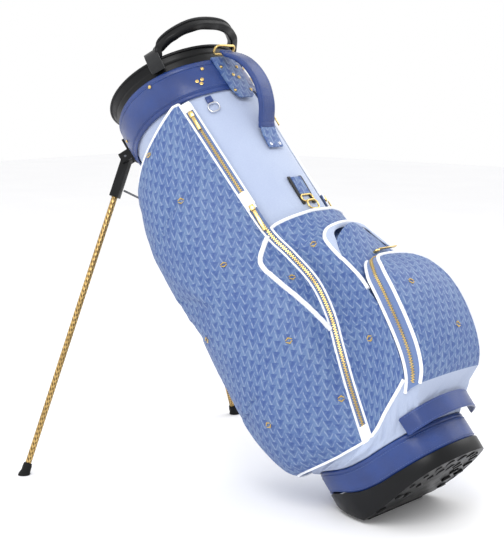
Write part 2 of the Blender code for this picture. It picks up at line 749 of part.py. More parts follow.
base_boot()
leather_band()
skirt()
base_strap()
body_tube()
collar()
cuff()
divider()
for side_name, side_sign in SIDES:
    side_pocket(side_name, side_sign)
    zip_strip(f"upper_zip_{side_name}", UPPER_ZIP, side_sign)
    zip_strip(f"lower_zip_{side_name}", LOWER_ZIP, side_sign)
    leg(side_name, side_sign)
front_panel()
drink_pocket()
ball_pocket()
grab_handle()
handle_tab()
carry_handle()
hardware()
zip_pulls()
stand_bracket()
push_rod()
rod_guides()
heel_plate()
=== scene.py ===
# %% [markdown]
# # Dressing a golf stand bag
# The imported model is the frame: it says where every hard and soft part sits, and how the stand folds.
# This lesson builds the looks around it: printed cloth, leather, zips with real teeth, piping and
# stitching. The frame is loaded first. The finished bag has to stay inside it.
# %% load the frame
import json
import math

import bpy
import numpy as np
from mathutils import Matrix, Vector, noise
from mathutils.bvhtree import BVHTree


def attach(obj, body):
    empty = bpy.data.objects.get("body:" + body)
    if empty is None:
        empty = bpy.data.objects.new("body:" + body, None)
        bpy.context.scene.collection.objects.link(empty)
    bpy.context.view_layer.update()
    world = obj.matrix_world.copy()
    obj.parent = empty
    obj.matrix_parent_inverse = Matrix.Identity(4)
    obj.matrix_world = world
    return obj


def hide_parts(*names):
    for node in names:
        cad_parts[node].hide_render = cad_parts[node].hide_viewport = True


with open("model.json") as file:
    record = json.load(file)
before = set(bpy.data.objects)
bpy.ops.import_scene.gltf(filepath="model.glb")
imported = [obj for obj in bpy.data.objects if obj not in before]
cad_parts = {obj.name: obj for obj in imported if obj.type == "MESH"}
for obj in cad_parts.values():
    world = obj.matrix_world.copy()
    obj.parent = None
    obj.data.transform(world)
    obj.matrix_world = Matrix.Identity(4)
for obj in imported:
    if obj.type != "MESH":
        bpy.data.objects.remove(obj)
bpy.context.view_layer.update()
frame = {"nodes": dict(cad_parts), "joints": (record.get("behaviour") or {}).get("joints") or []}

nodes = frame["nodes"]
joints = {joint["name"]: joint for joint in frame["joints"]}

# %% [markdown]
# ## The bag's own axes
# The bag leans back on its legs, but it is far easier to think of it upright. The push rod slides
# along the bag, so its axis is "up the bag", and the heel plate turns about the corner of the base.
# From those two the matrix BAG takes a point drawn on an upright bag (x towards the ball pocket, y
# across, z up) to its place.
# %% the upright bag and the matrix that leans it
UP_THE_BAG = Vector(joints["push_rod_slide"]["axis"]).normalized()
HEEL = Vector(joints["heel_plate_tilt"]["pos_m"])
HEEL_LINE = 0.055  # the heel's corner, behind the bag's middle
FORWARD = Vector((UP_THE_BAG.z, 0.0, -UP_THE_BAG.x))
MIDDLE = Vector((HEEL.x, 0.0, 0.0)) + FORWARD * HEEL_LINE
LEANED = Matrix((FORWARD, Vector((0.0, 1.0, 0.0)), UP_THE_BAG)).transposed().to_4x4()
BAG = Matrix.Translation(MIDDLE) @ LEANED
UPRIGHT = BAG.inverted()
SIDES = (("right", -1.0), ("left", 1.0))  # and the sign of y there
print("lean:", round(math.degrees(math.acos(UP_THE_BAG.z)), 1), "degrees")

# %% [markdown]
# ## The outline of the bag
# Seen from above, a golf bag is a rounded square at the base and round at the collar: a superellipse
# whose exponent and size change on the way up. `outline` gives a point of it, moved out by `grow`,
# and `through` reads a smooth curve through a few chosen points, which is how every edge of a pocket
# is described.
# %% outline and smooth curves
COLLAR_TOP = 0.840
# each at the base and at the collar: middle, half depth, half width and exponent
CENTRE, DEPTH, WIDTH, SQUARE = (0.005, -0.025), (0.126, 0.1265), (0.104, 0.1265), (2.5, 2.0)


def lerp(a, b, t):
    return a + (b - a) * t


def clamp(t):
    return min(1.0, max(0.0, t))


def ease(t):
    t = clamp(t)
    return t * t * (3.0 - 2.0 * t)


def through(points, x):
    """A smooth curve through (x, y) points, read at x."""
    if x <= points[0][0]:
        return points[0][1]
    if x >= points[-1][0]:
        return points[-1][1]
    last = len(points) - 1
    i = max(k for k in range(last) if points[k][0] <= x)
    (x0, y0), (x1, y1) = points[i], points[i + 1]
    before, after = points[max(i - 1, 0)], points[min(i + 2, last)]
    slope0 = (y1 - before[1]) / (x1 - before[0])
    slope1 = (after[1] - y0) / (after[0] - x0)
    span = x1 - x0
    t = (x - x0) / span
    return ((2 * t**3 - 3 * t**2 + 1) * y0 + (t**3 - 2 * t**2 + t) * span * slope0
            + (3 * t**2 - 2 * t**3) * y1 + (t**3 - t**2) * span * slope1)


def route(points, count):
    """Evenly read points of a smooth curve through these, as vectors."""
    table = [[(i, point[axis]) for i, point in enumerate(points)] for axis in range(3)]
    steps = [k * (len(points) - 1) / (count - 1) for k in range(count)]
    return [Vector([through(table[axis], step) for axis in range(3)]) for step in steps]


def outline(height, angle, grow=0.0):
    """A point on the bag's outline; an angle of 0 faces the ball pocket and 90 faces -y."""
    t = clamp(height / COLLAR_TOP)
    power = 2.0 / lerp(*SQUARE, t)
    c, s = math.cos(math.radians(angle)), math.sin(math.radians(angle))
    x = lerp(*CENTRE, t) + math.copysign((lerp(*DEPTH, t) + grow) * abs(c) ** power, c)
    y = math.copysign((lerp(*WIDTH, t) + grow) * abs(s) ** power, -s)
    return Vector((x, y, height))


def wrapped(angle):
    return (angle + 180.0) % 360.0 - 180.0


print("mouth:", round(2 * DEPTH[1], 3), "m across")

# %% [markdown]
# ## Camera, floor and light
# The camera comes early, so that every later piece can be looked at. It stands low and to the right
# of the ball pocket. The floor is plain and pale, the light is a big soft box on each side and a
# bright sky, as in a studio, and the colours are shown as they are, with no film curve.
# %% camera
AZIMUTH, ELEVATION, DISTANCE = math.radians(40.96), math.radians(8.8), 2.4
LENS, SENSOR = 87.83, 36.0
back = Vector((math.sin(AZIMUTH) * math.cos(ELEVATION), -math.cos(AZIMUTH) * math.cos(ELEVATION),
               math.sin(ELEVATION)))
camera_right = Vector((math.cos(AZIMUTH), math.sin(AZIMUTH), 0.0))
camera_up = back.cross(camera_right)
aim = Vector((HEEL.x - 0.3, 0.0, 0.38)) - camera_right * 0.0157 - camera_up * 0.0125
camera_data = bpy.data.cameras.new("camera")
camera_data.lens, camera_data.sensor_width = LENS, SENSOR
camera = bpy.data.objects.new("camera", camera_data)
bpy.context.scene.collection.objects.link(camera)
camera.location = aim + back * DISTANCE
camera.rotation_euler = back.to_track_quat("Z", "Y").to_euler()
bpy.context.scene.camera = camera
bpy.context.scene.view_settings.view_transform = "Standard"
print("camera at", [round(value, 2) for value in camera.location])


# %% floor and lights
def deselect():
    """Nothing selected, in object mode: an operator acts on all that is selected."""
    if bpy.context.mode != "OBJECT":
        bpy.ops.object.mode_set(mode="OBJECT")
    bpy.ops.object.select_all(action="DESELECT")


def soft_box(name, place, size, power):
    light = bpy.data.lights.new(name, "AREA")
    light.shape, light.size, light.energy = "SQUARE", size, power
    lamp = bpy.data.objects.new(name, light)
    bpy.context.scene.collection.objects.link(lamp)
    lamp.location = place
    lamp.rotation_euler = (Vector(place) - Vector((0.0, 0.0, 0.4))).to_track_quat("Z", "Y").to_euler()


deselect()
bpy.ops.mesh.primitive_plane_add(size=14.0, location=(0.0, 0.0, -0.0005))
floor = bpy.context.object
floor.name = "floor"
bpy.ops.object.transform_apply(location=True, rotation=False, scale=True)
soft_box("key_light", (1.3, -1.9, 2.5), 1.5, 42.0)
soft_box("fill_light", (-2.2, -1.8, 1.8), 2.6, 16.0)
soft_box("rim_light", (0.6, 2.4, 2.2), 2.0, 26.0)
world = bpy.data.worlds.new("studio")
world.use_nodes = True
world.node_tree.nodes["Background"].inputs["Color"].default_value = (1.0, 1.0, 1.0, 1.0)
world.node_tree.nodes["Background"].inputs["Strength"].default_value = 1.0
bpy.context.scene.world = world
print("stage:", floor.name, "and three soft boxes")

# %% [markdown]
# ## Materials
# A material is a small graph. Writing `graph.math("MULTIPLY", a, b)` keeps it readable: every
# argument may be a number or another node's output. Effects that several finishes share are node
# groups, built once: the weave of cloth, the grain of leather, and the patchy wear and dirt of things
# that are handled.
# %% a short way to write node graphs
class Graph:
    """Adds nodes to one node tree and joins them."""

    def __init__(self, tree):
        self.tree = tree

    def add(self, kind, inputs=(), **settings):
        node = self.tree.nodes.new(kind)
        for key, value in settings.items():
            setattr(node, key, value)
        for key, value in dict(inputs).items():
            self.feed(node.inputs[key], value)
        return node

    def feed(self, socket, value):
        if isinstance(value, bpy.types.NodeSocket):
            self.tree.links.new(value, socket)
        else:
            socket.default_value = value

    def math(self, operation, *values):
        return self.add("ShaderNodeMath", dict(enumerate(values)), operation=operation).outputs[0]

    def mix(self, factor, a, b):
        """Two colours mixed."""
        return self.add("ShaderNodeMix", {0: factor, 6: a, 7: b}, data_type="RGBA").outputs[2]

    def ramp(self, value, low, high):
        """value between low and high, brought to 0 and 1 with soft ends."""
        return self.add("ShaderNodeMapRange", {"Value": value, "From Min": low, "From Max": high},
                        interpolation_type="SMOOTHSTEP").outputs["Result"]

    def noise(self, vector, scale, detail=3.0):
        made = self.add("ShaderNodeTexNoise", {"Vector": vector, "Scale": scale, "Detail": detail})
        return made.outputs["Fac"]


def node_group(name, inputs, outputs):
    """An empty group with these sockets: (group tree, graph, its input node's sockets, its output node)."""
    tree = bpy.data.node_groups.new(name, "ShaderNodeTree")
    for socket, kind, value in inputs:
        made = tree.interface.new_socket(socket, in_out="INPUT", socket_type=f"NodeSocket{kind}")
        if value is not None:
            made.default_value = value
    for socket in outputs:
        tree.interface.new_socket(socket, in_out="OUTPUT", socket_type="NodeSocketFloat")
    graph = Graph(tree)
    return tree, graph, graph.add("NodeGroupInput").outputs, graph.add("NodeGroupOutput").inputs


# %% [markdown]
# ### Shared effects
# Cloth is over and under: two sine waves, one across and one along, that take turns to be on top.
# Leather is a net of small cells with softer folds. Wear is slow noise, sharpened into patches.
# %% woven threads
PLACE = ("Vector", "Vector", None)  # the first socket of every group


def weave_group():
    tree, g, given, out = node_group("woven_threads", [PLACE, ("Threads", "Float", 900.0)],
                                     ["Height", "Shade"])
    place = g.add("ShaderNodeSeparateXYZ", {0: given["Vector"]}).outputs
    turn = g.math("MULTIPLY", given["Threads"], 2 * math.pi)
    across = g.math("SINE", g.math("MULTIPLY", place[0], turn))
    along = g.math("SINE", g.math("MULTIPLY", place[1], turn))
    over = g.math("MULTIPLY", across, along)
    g.feed(out["Height"], g.math("MULTIPLY_ADD", over, 0.5, 0.5))
    slub = g.noise(given["Vector"], g.math("MULTIPLY", given["Threads"], 0.35), 2.0)
    g.feed(out["Shade"], g.math("MULTIPLY_ADD", over, 0.12, slub))
    return tree


WEAVE = weave_group()
print("group", WEAVE.name)


# %% leather grain
def grain_group():
    tree, g, given, out = node_group("leather_grain", [PLACE, ("Cells", "Float", 900.0)],
                                     ["Height", "Shade"])
    cells = g.add("ShaderNodeTexVoronoi", {"Vector": given["Vector"], "Scale": given["Cells"]},
                  feature="DISTANCE_TO_EDGE").outputs["Distance"]
    folds = g.noise(given["Vector"], g.math("MULTIPLY", given["Cells"], 0.12), 4.0)
    g.feed(out["Height"], g.math("ADD", g.ramp(cells, 0.0, 0.25), g.math("MULTIPLY", folds, 0.6)))
    g.feed(out["Shade"], g.noise(given["Vector"], 14.0, 4.0))
    return tree


GRAIN = grain_group()
print("group", GRAIN.name)


# %% handling wear
def wear_group():
    tree, g, given, out = node_group("handling_wear", [PLACE, ("Scale", "Float", 20.0)], ["Patches"])
    broad = g.noise(given["Vector"], given["Scale"], 5.0)
    g.feed(out["Patches"], g.ramp(broad, 0.42, 0.68))
    return tree


WEAR = wear_group()
print("group", WEAR.name)

# %% [markdown]
# ### The print
# The printed cloth carries columns of small blocks with a flat top and two slopes, each column set
# about a third of a step from the next, and the whole lattice is laid at a slant to the bag. Along
# the slopes run pale lines, and noise breaks both up, because the print is meant to look faded.
# %% the printed lattice
CELL = 0.0155  # a block's size
DROP = 0.36  # how far each column is set from the next, as a share of a block
TURN = math.radians(33.0)


def print_group():
    tree, g, given, out = node_group("printed_lattice", [PLACE], ["Deep", "Line", "Facet"])
    turned = g.add("ShaderNodeMapping", {"Vector": given["Vector"], "Rotation": (0.0, 0.0, TURN)}).outputs[0]
    place = g.add("ShaderNodeSeparateXYZ", {0: turned}).outputs
    column = g.math("DIVIDE", place[0], CELL)
    row = g.math("MULTIPLY_ADD", g.math("FLOOR", column), DROP, g.math("DIVIDE", place[1], CELL))
    up, side = g.math("FRACT", row), g.math("SUBTRACT", g.math("FRACT", column), 0.5)
    slope = g.math("SUBTRACT", g.math("MULTIPLY", up, 0.55), g.math("ABSOLUTE", side))
    soft = g.noise(given["Vector"], 210.0, 2.0)
    g.feed(out["Deep"], g.math("MULTIPLY", g.ramp(slope, -0.02, 0.30), g.ramp(soft, 0.25, 0.55)))
    g.feed(out["Facet"], g.ramp(side, -0.10, 0.10))
    leaning = g.math("MULTIPLY_ADD", g.ramp(side, 0.10, -0.10), 0.45, 0.55)
    line = g.math("MULTIPLY", g.ramp(g.math("ABSOLUTE", slope), 0.11, 0.02), g.ramp(soft, 0.30, 0.60))
    g.feed(out["Line"], g.math("MULTIPLY", line, leaning))
    return tree


PRINT = print_group()
print("group", PRINT.name)


# %% [markdown]
# ### Finishes
# `finish` starts a material and hands back its graph and its Principled shader. Values that are the
# same all over are set on the shader's own sockets, and only what changes over the surface is linked.
# %% starting a material
def paint(red, green, blue):
    """A colour picked as 0 to 255, as the shader's linear colour."""
    linear = [((c / 255 + 0.055) / 1.055) ** 2.4 if c > 10 else c / 3294.6 for c in (red, green, blue)]
    return (*linear, 1.0)


def finish(name, colour, roughness, metallic=0.0, **more):
    made = bpy.data.materials.new(name)
    made.use_nodes = True
    shader = made.node_tree.nodes["Principled BSDF"]
    shader.inputs["Base Color"].default_value = paint(*colour)
    shader.inputs["Roughness"].default_value = roughness
    shader.inputs["Metallic"].default_value = metallic
    for key, value in more.items():
        shader.inputs[key.replace("_", " ")].default_value = value
    return made, Graph(made.node_tree), shader.inputs


def coordinates(graph, kind="Object"):
    return graph.add("ShaderNodeTexCoord").outputs[kind]


def use(graph, tree, **inputs):
    group = graph.add("ShaderNodeGroup", node_tree=tree)
    for key, value in inputs.items():
        graph.feed(group.inputs[key], value)
    return group.outputs


def bump(graph, height, distance, strength):
    made = graph.add("ShaderNodeBump", {"Height": height, "Distance": distance, "Strength": strength})
    return made.outputs[0]


# %% cloths
def woven(name, colour, dark, threads=900.0, roughness=0.85, sheen=0.25, depth=0.0003, kind="UV"):
    """Plain woven cloth: threads go over and under, and the dye is a little uneven."""
    made, g, shader = finish(name, colour, roughness, Sheen_Weight=sheen, Sheen_Roughness=0.5)
    place = coordinates(g, kind)
    weave = use(g, WEAVE, Vector=place, Threads=threads)
    wear = use(g, WEAR, Vector=coordinates(g), Scale=9.0)
    tone = g.mix(g.math("MULTIPLY", weave["Shade"], 0.55), paint(*colour), paint(*dark))
    shaded = g.mix(g.math("MULTIPLY", wear["Patches"], 0.22), tone, paint(*dark))
    g.feed(shader["Base Color"], shaded)
    g.feed(shader["Roughness"], g.math("MULTIPLY_ADD", wear["Patches"], 0.06, roughness - 0.03))
    g.feed(shader["Normal"], bump(g, weave["Height"], depth, 0.5))
    return made


def printed():
    """The printed cloth: the lattice over a fine weave, under a thin clear coating."""
    made, g, shader = finish("printed_cloth", (84, 112, 166), 0.6, Coat_Weight=0.08, Coat_Roughness=0.4)
    place = coordinates(g, "UV")
    lattice = use(g, PRINT, Vector=place)
    weave = use(g, WEAVE, Vector=place, Threads=1100.0)
    patches = g.noise(place, 26.0, 4.0)
    light, middle, deep = paint(98, 124, 164), paint(76, 104, 154), paint(42, 72, 136)
    ground = g.mix(g.ramp(patches, 0.35, 0.65), middle, light)
    ground = g.mix(g.math("MULTIPLY", lattice["Facet"], 0.35), ground, middle)
    figure = g.mix(g.math("MULTIPLY", lattice["Deep"], 0.8), ground, deep)
    figure = g.mix(g.math("MULTIPLY", lattice["Line"], 0.75), figure, paint(150, 164, 192))
    g.feed(shader["Base Color"], g.mix(g.math("MULTIPLY", weave["Shade"], 0.16), figure, paint(70, 92, 150)))
    g.feed(shader["Roughness"], g.math("MULTIPLY_ADD", patches, 0.16, 0.48))
    g.feed(shader["Normal"], bump(g, weave["Height"], 0.00025, 0.4))
    return made


PRINTED = printed()
LAVENDER = woven("lavender_cloth", (182, 194, 216), (152, 164, 198), threads=1000.0)
LINING = woven("dark_lining", (26, 27, 32), (12, 12, 15), threads=700.0, kind="Object")
TAPE = woven("ribbed_zip_tape", (110, 132, 176), (84, 104, 152), threads=1300.0, kind="Object")
WEBBING = woven("webbing_cloth", (22, 24, 27), (8, 9, 10), threads=420.0, depth=0.0006, kind="Object")
PIPING = woven("white_piping", (250, 251, 253), (226, 230, 240), threads=1000.0, roughness=0.6, sheen=0.1,
               kind="Object")
THREAD = woven("blue_thread", (70, 98, 160), (40, 62, 118), threads=2200.0, kind="Object")
GOLD_THREAD = woven("gold_thread", (222, 186, 84), (160, 124, 40), threads=2200.0, roughness=0.5,
                    kind="Object")
print("cloths:", PRINTED.name, LAVENDER.name, LINING.name, TAPE.name, WEBBING.name, PIPING.name)


# %% leather, plastic and rubber
def leather():
    """Pebbled leather under a thin clear dressing, darker in the valleys of its grain."""
    made, g, shader = finish("grained_leather", (12, 46, 116), 0.36, Coat_Weight=0.3, Coat_Roughness=0.22)
    place = coordinates(g)
    grain = use(g, GRAIN, Vector=place, Cells=900.0)
    wear = use(g, WEAR, Vector=place, Scale=16.0)
    tone = g.mix(g.ramp(grain["Shade"], 0.35, 0.7), paint(10, 46, 112), paint(18, 58, 130))
    valleys = g.math("MULTIPLY", g.math("SUBTRACT", 1.0, grain["Height"]), 0.30)
    tone = g.mix(valleys, tone, paint(8, 32, 84))
    worn = g.math("MULTIPLY", wear["Patches"], 0.18)
    g.feed(shader["Base Color"], g.mix(worn, tone, paint(34, 70, 138)))
    g.feed(shader["Roughness"], g.math("MULTIPLY_ADD", wear["Patches"], 0.12, 0.30))
    g.feed(shader["Normal"], bump(g, grain["Height"], 0.00035, 0.6))
    return made


def moulded(name, colour, scuffed, roughness, scale, depth):
    """Moulded plastic or rubber: a fine sparked texture, and scuffs where it is knocked."""
    made, g, shader = finish(name, colour, roughness, Specular_IOR_Level=0.25)
    place = coordinates(g)
    wear = use(g, WEAR, Vector=place, Scale=24.0)
    worn = g.math("MULTIPLY", wear["Patches"], 0.5)
    g.feed(shader["Base Color"], g.mix(worn, paint(*colour), paint(*scuffed)))
    g.feed(shader["Roughness"], g.math("MULTIPLY_ADD", wear["Patches"], 0.16, roughness - 0.05))
    g.feed(shader["Normal"], bump(g, g.noise(place, scale, 3.0), depth, 0.5))
    return made


LEATHER = leather()
PLASTIC = moulded("moulded_plastic", (6, 7, 9), (13, 14, 18), 0.40, 900.0, 0.0002)
RUBBER = moulded("tread_rubber", (9, 9, 10), (22, 22, 24), 0.7, 500.0, 0.0004)
print("moulded:", LEATHER.name, PLASTIC.name, RUBBER.name)


# %% metals
def metal(name, colour, tarnish, roughness):
    """Plated metal: dull in patches, with fine scratches along it."""
    made, g, shader = finish(name, colour, roughness, 1.0)
    place = coordinates(g)
    wear = use(g, WEAR, Vector=place, Scale=40.0)
    drawn_out = g.add("ShaderNodeMapping", {"Vector": place, "Scale": (80, 80, 6)}).outputs[0]
    scratches = g.noise(drawn_out, 30.0, 2.0)
    worn = g.math("MULTIPLY", wear["Patches"], 0.5)
    g.feed(shader["Base Color"], g.mix(worn, paint(*colour), paint(*tarnish)))
    g.feed(shader["Roughness"], g.math("MULTIPLY_ADD", wear["Patches"], 0.14, roughness))
    g.feed(shader["Normal"], bump(g, scratches, 0.00005, 0.35))
    return made


def leg_finish():
    """The leg tubes: gold, printed with a fine dark crossing weave."""
    made, g, shader = finish("gold_leg_tube", (190, 156, 96), 0.38, 0.75)
    place = coordinates(g)
    tilted = g.add("ShaderNodeMapping", {"Vector": place, "Rotation": (0.6, 0.6, 0.3)}).outputs[0]
    weave = use(g, WEAVE, Vector=tilted, Threads=160.0)
    wear = use(g, WEAR, Vector=place, Scale=30.0)
    light, dark = paint(206, 172, 108), paint(112, 92, 58)
    figure = g.mix(g.ramp(weave["Height"], 0.45, 0.62), light, dark)
    worn = g.math("MULTIPLY", wear["Patches"], 0.4)
    g.feed(shader["Base Color"], g.mix(worn, figure, paint(140, 112, 70)))
    g.feed(shader["Roughness"], g.math("MULTIPLY_ADD", weave["Height"], 0.15, 0.30))
    g.feed(shader["Normal"], bump(g, weave["Height"], 0.0002, 0.4))
    return made


GOLD = metal("gold_plate", (224, 196, 128), (180, 146, 84), 0.24)
SILVER = metal("silver_plate", (214, 216, 222), (150, 152, 160), 0.18)
STEEL = metal("blued_steel", (96, 98, 104), (60, 60, 66), 0.34)
LEG = leg_finish()


def plain_floor():
    made, g, shader = finish("pale_floor", (250, 250, 251), 0.8)
    shade = g.noise(coordinates(g), 3.0, 2.0)
    g.feed(shader["Base Color"], g.mix(shade, paint(252, 252, 253), paint(247, 247, 249)))
    return made


floor.data.materials.append(plain_floor())
print("metals:", GOLD.name, SILVER.name, STEEL.name, LEG.name)


def pick(piece):
    """Only this piece selected, and active."""
    deselect()
    piece.select_set(True)
    bpy.context.view_layer.objects.active = piece


def add_object(name, mesh):
    made = bpy.data.objects.new(name, mesh)
    bpy.context.scene.collection.objects.link(made)
    return made


def measured_uv(places, columns, rows):
    """Each point's distance along its row from the middle, and up the middle column."""
    grid = np.array(places).reshape(rows + 1, columns + 1, 3)
    along = np.linalg.norm(np.diff(grid, axis=1), axis=2)
    across = np.concatenate([np.zeros((rows + 1, 1)), np.cumsum(along, axis=1)], axis=1)
    across -= across[:, columns // 2][:, None]
    up = np.concatenate([[0.0], np.cumsum(np.linalg.norm(np.diff(grid[:, columns // 2], axis=0), axis=1))])
    return np.stack([across, np.repeat(up[:, None], columns + 1, axis=1)], axis=2).reshape(-1, 2)


def cloth(name, columns, rows, place, closed=False, turned_in=False):
    """A grid wrapped by place(u, v, layer): u and v run from 0 to 1, layer is 0 on a turned-in border."""
    deselect()
    bpy.ops.mesh.primitive_grid_add(x_subdivisions=columns, y_subdivisions=rows, size=1.0)
    piece = bpy.context.object
    piece.name = piece.data.name = name
    if turned_in:
        bpy.ops.object.mode_set(mode="EDIT")
        bpy.ops.mesh.select_all(action="SELECT")
        bpy.ops.mesh.region_to_loop()
        bpy.ops.mesh.extrude_edges_move(TRANSFORM_OT_translate={"value": (0.0, 0.0, -1.0)})
        bpy.ops.object.mode_set(mode="OBJECT")
    flat = [tuple(vert.co) for vert in piece.data.vertices]
    count = (columns + 1) * (rows + 1)
    laid = [place(x + 0.5, y + 0.5, 1.0) for x, y, _ in flat[:count]]
    uv = dict(enumerate(measured_uv(laid, columns, rows)))
    for index, (x, y, z) in enumerate(flat):
        inner = z < -0.5
        if inner:
            partner = round((y + 0.5) * rows) * (columns + 1) + round((x + 0.5) * columns)
            turned = place(x + 0.5, y + 0.5, 0.0)
            hem = (turned - laid[partner]).length
            border = np.array((np.sign(x) * (abs(x) > 0.499), np.sign(y) * (abs(y) > 0.499)))
            uv[index] = uv[partner] + border * hem
        piece.data.vertices[index].co = turned if inner else laid[index]
    layer = piece.data.uv_layers.active.data
    for loop in piece.data.loops:
        layer[loop.index].uv = uv[loop.vertex_index]
    if closed:
        bpy.ops.object.mode_set(mode="EDIT")
        bpy.ops.mesh.select_all(action="SELECT")
        bpy.ops.mesh.remove_doubles(threshold=1e-5)
        bpy.ops.object.mode_set(mode="OBJECT")
    return piece


def apply_modifier(piece, kind, **settings):
    pick(piece)
    made = piece.modifiers.new(kind.title(), kind)
    for key, value in settings.items():
        setattr(made, key, value)
    bpy.ops.object.modifier_apply(modifier=made.name)
    return piece


def outward(piece):
    """Merges doubles and turns every face out."""
    pick(piece)
    bpy.ops.object.mode_set(mode="EDIT")
    bpy.ops.mesh.select_all(action="SELECT")
    bpy.ops.mesh.remove_doubles(threshold=2e-5)
    bpy.ops.mesh.normals_make_consistent(inside=False)
    bpy.ops.object.mode_set(mode="OBJECT")
    return piece


def thicken(piece, thickness, inner=0):
    """Gives open cloth its thickness, inwards, and the inner face another material if there is one."""
    return apply_modifier(piece, "SOLIDIFY", thickness=thickness, offset=-1.0, material_offset=inner)


def dress(piece, material, body="bag", stands_for=(), lean=True, angle=40.0, lining=None):
    """Finishes a piece drawn on the upright bag: its place, look, body and the frame nodes it replaces."""
    pick(piece)
    bpy.ops.object.shade_smooth_by_angle(angle=math.radians(angle))
    if lean:
        piece.data.transform(BAG)
    piece.data.materials.clear()
    piece.data.materials.append(material)
    if lining:
        piece.data.materials.append(lining)
    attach(piece, body)
    if stands_for:
        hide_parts(*stands_for)
    return piece


print("tools ready")


# %% [markdown]
# ### Simulated cloth, tubes and repeats
# `settle` runs a short cloth simulation with the border held and a little pressure behind it, so that
# a panel fills out and puckers at its seams; no point moves further than the cap. `tube` lays piping
# or wire along a line, and `repeat` copies one small shape to many places, for teeth and stitches.
# %% settle, tube and repeat
FRAMES = 16  # how long the cloth is given to fill out


def settle(piece, held, pressure, slack, cap):
    """Fills a panel out: held(vert) says how firmly a point is sewn down, from 0 to 1."""
    start = np.array([vert.co for vert in piece.data.vertices])
    sewn = piece.vertex_groups.new(name="sewn")
    for vert in piece.data.vertices:
        sewn.add([vert.index], held(vert), "REPLACE")
    modifier = piece.modifiers.new("Cloth", "CLOTH")
    modifier.settings.quality = 5
    modifier.settings.mass = 0.25
    modifier.settings.vertex_group_mass = "sewn"
    modifier.settings.use_pressure = True
    modifier.settings.uniform_pressure_force = pressure
    modifier.settings.shrink_min = -slack
    modifier.settings.bending_stiffness = 0.15
    modifier.settings.effector_weights.gravity = 0.0
    modifier.collision_settings.use_collision = False
    modifier.point_cache.frame_end = FRAMES
    for number in range(1, FRAMES + 1):
        bpy.context.scene.frame_set(number)
    pick(piece)
    bpy.ops.object.modifier_apply(modifier=modifier.name)
    bpy.context.scene.frame_set(1)
    moved = np.array([vert.co for vert in piece.data.vertices]) - start
    length = np.linalg.norm(moved, axis=1)
    kept = np.minimum(1.0, cap / np.maximum(length, 1e-9))
    for vert, place in zip(piece.data.vertices, start + moved * kept[:, None]):
        vert.co = place
    piece.vertex_groups.clear()
    print(f"  {piece.name} settled: moved up to {1000 * min(length.max(), cap):.1f} mm")
    return piece


def tube(name, points, radius, closed=False, sides=3):
    """A round cord or wire along these points, as a mesh with closed ends."""
    deselect()
    bpy.ops.curve.primitive_nurbs_path_add()
    line = bpy.context.object
    line.name = name
    curve = line.data
    curve.splines.clear()
    spline = curve.splines.new("POLY")
    spline.points.add(len(points) - 1)
    for point, place in zip(spline.points, points):
        point.co = (*place, 1.0)
    spline.use_cyclic_u = closed
    curve.bevel_depth, curve.bevel_resolution, curve.use_fill_caps = radius, sides, not closed
    line.location = (0.0, 0.0, 0.0)
    bpy.ops.object.convert(target="MESH")
    made = bpy.context.object
    made.data.name = name
    return outward(made)


def repeat(name, shape, places):
    """One mesh of a small shape copied to each place, a matrix; the shape itself is removed."""
    verts = np.array([(*vert.co, 1.0) for vert in shape.data.vertices])
    faces = [tuple(face.vertices) for face in shape.data.polygons]
    points = np.concatenate([(verts @ np.array(place).T)[:, :3] for place in places])
    links = [tuple(i + len(verts) * k for i in face) for k in range(len(places)) for face in faces]
    mesh = bpy.data.meshes.new(name)
    mesh.from_pydata(points.tolist(), [], links)
    bpy.data.objects.remove(shape)
    return add_object(name, mesh)


def axes(at, ahead, out):
    """A matrix at a point, with X ahead and Z as near to out as it can be."""
    x = ahead.normalized()
    y = out.cross(x).normalized()
    return Matrix.Translation(at) @ Matrix((x, y, x.cross(y))).transposed().to_4x4()


def spaced(points, pitch, start=0.0):
    """(point, direction) every pitch along a line of points."""
    found, travelled, due = [], 0.0, start
    for a, b in zip(points, points[1:]):
        length = (b - a).length
        while due <= travelled + length and length > 0.0:
            found.append((a.lerp(b, (due - travelled) / length), (b - a).normalized()))
            due += pitch
        travelled += length
    return found


def capsule(length, radius):
    """A stitch or a small pin lying along X, with rounded ends."""
    deselect()
    bpy.ops.mesh.primitive_cylinder_add(vertices=6, radius=radius, depth=length * 0.6,
                                        rotation=(0.0, math.pi / 2, 0.0))
    made = bpy.context.object
    bpy.ops.object.transform_apply(location=True, rotation=True, scale=True)
    bpy.ops.object.mode_set(mode="EDIT")
    for end in (-1.0, 1.0):
        bpy.ops.mesh.select_all(action="DESELECT")
        bpy.ops.object.mode_set(mode="OBJECT")
        for face in made.data.polygons:
            face.select = face.normal.x * end > 0.9
        bpy.ops.object.mode_set(mode="EDIT")
        bpy.ops.mesh.extrude_region_move(TRANSFORM_OT_translate={"value": (end * length * 0.2, 0.0, 0.0)})
        bpy.ops.transform.resize(value=(1.0, 0.45, 0.45))
    bpy.ops.object.mode_set(mode="OBJECT")
    return made


def bevelled_block(size, bevel, segments, high=0.0):
    """A small block with its edges bevelled, its middle this high."""
    deselect()
    bpy.ops.mesh.primitive_cube_add(size=1.0, location=(0.0, 0.0, high))
    made = bpy.context.object
    made.scale = size
    bpy.ops.object.transform_apply(location=True, rotation=False, scale=True)
    bpy.ops.object.mode_set(mode="EDIT")
    bpy.ops.mesh.select_all(action="SELECT")
    bpy.ops.mesh.bevel(offset=bevel, segments=segments)
    bpy.ops.object.mode_set(mode="OBJECT")
    return made


STITCH_PITCH, STITCH_LENGTH, STITCH_RADIUS = 0.0048, 0.0034, 0.00042


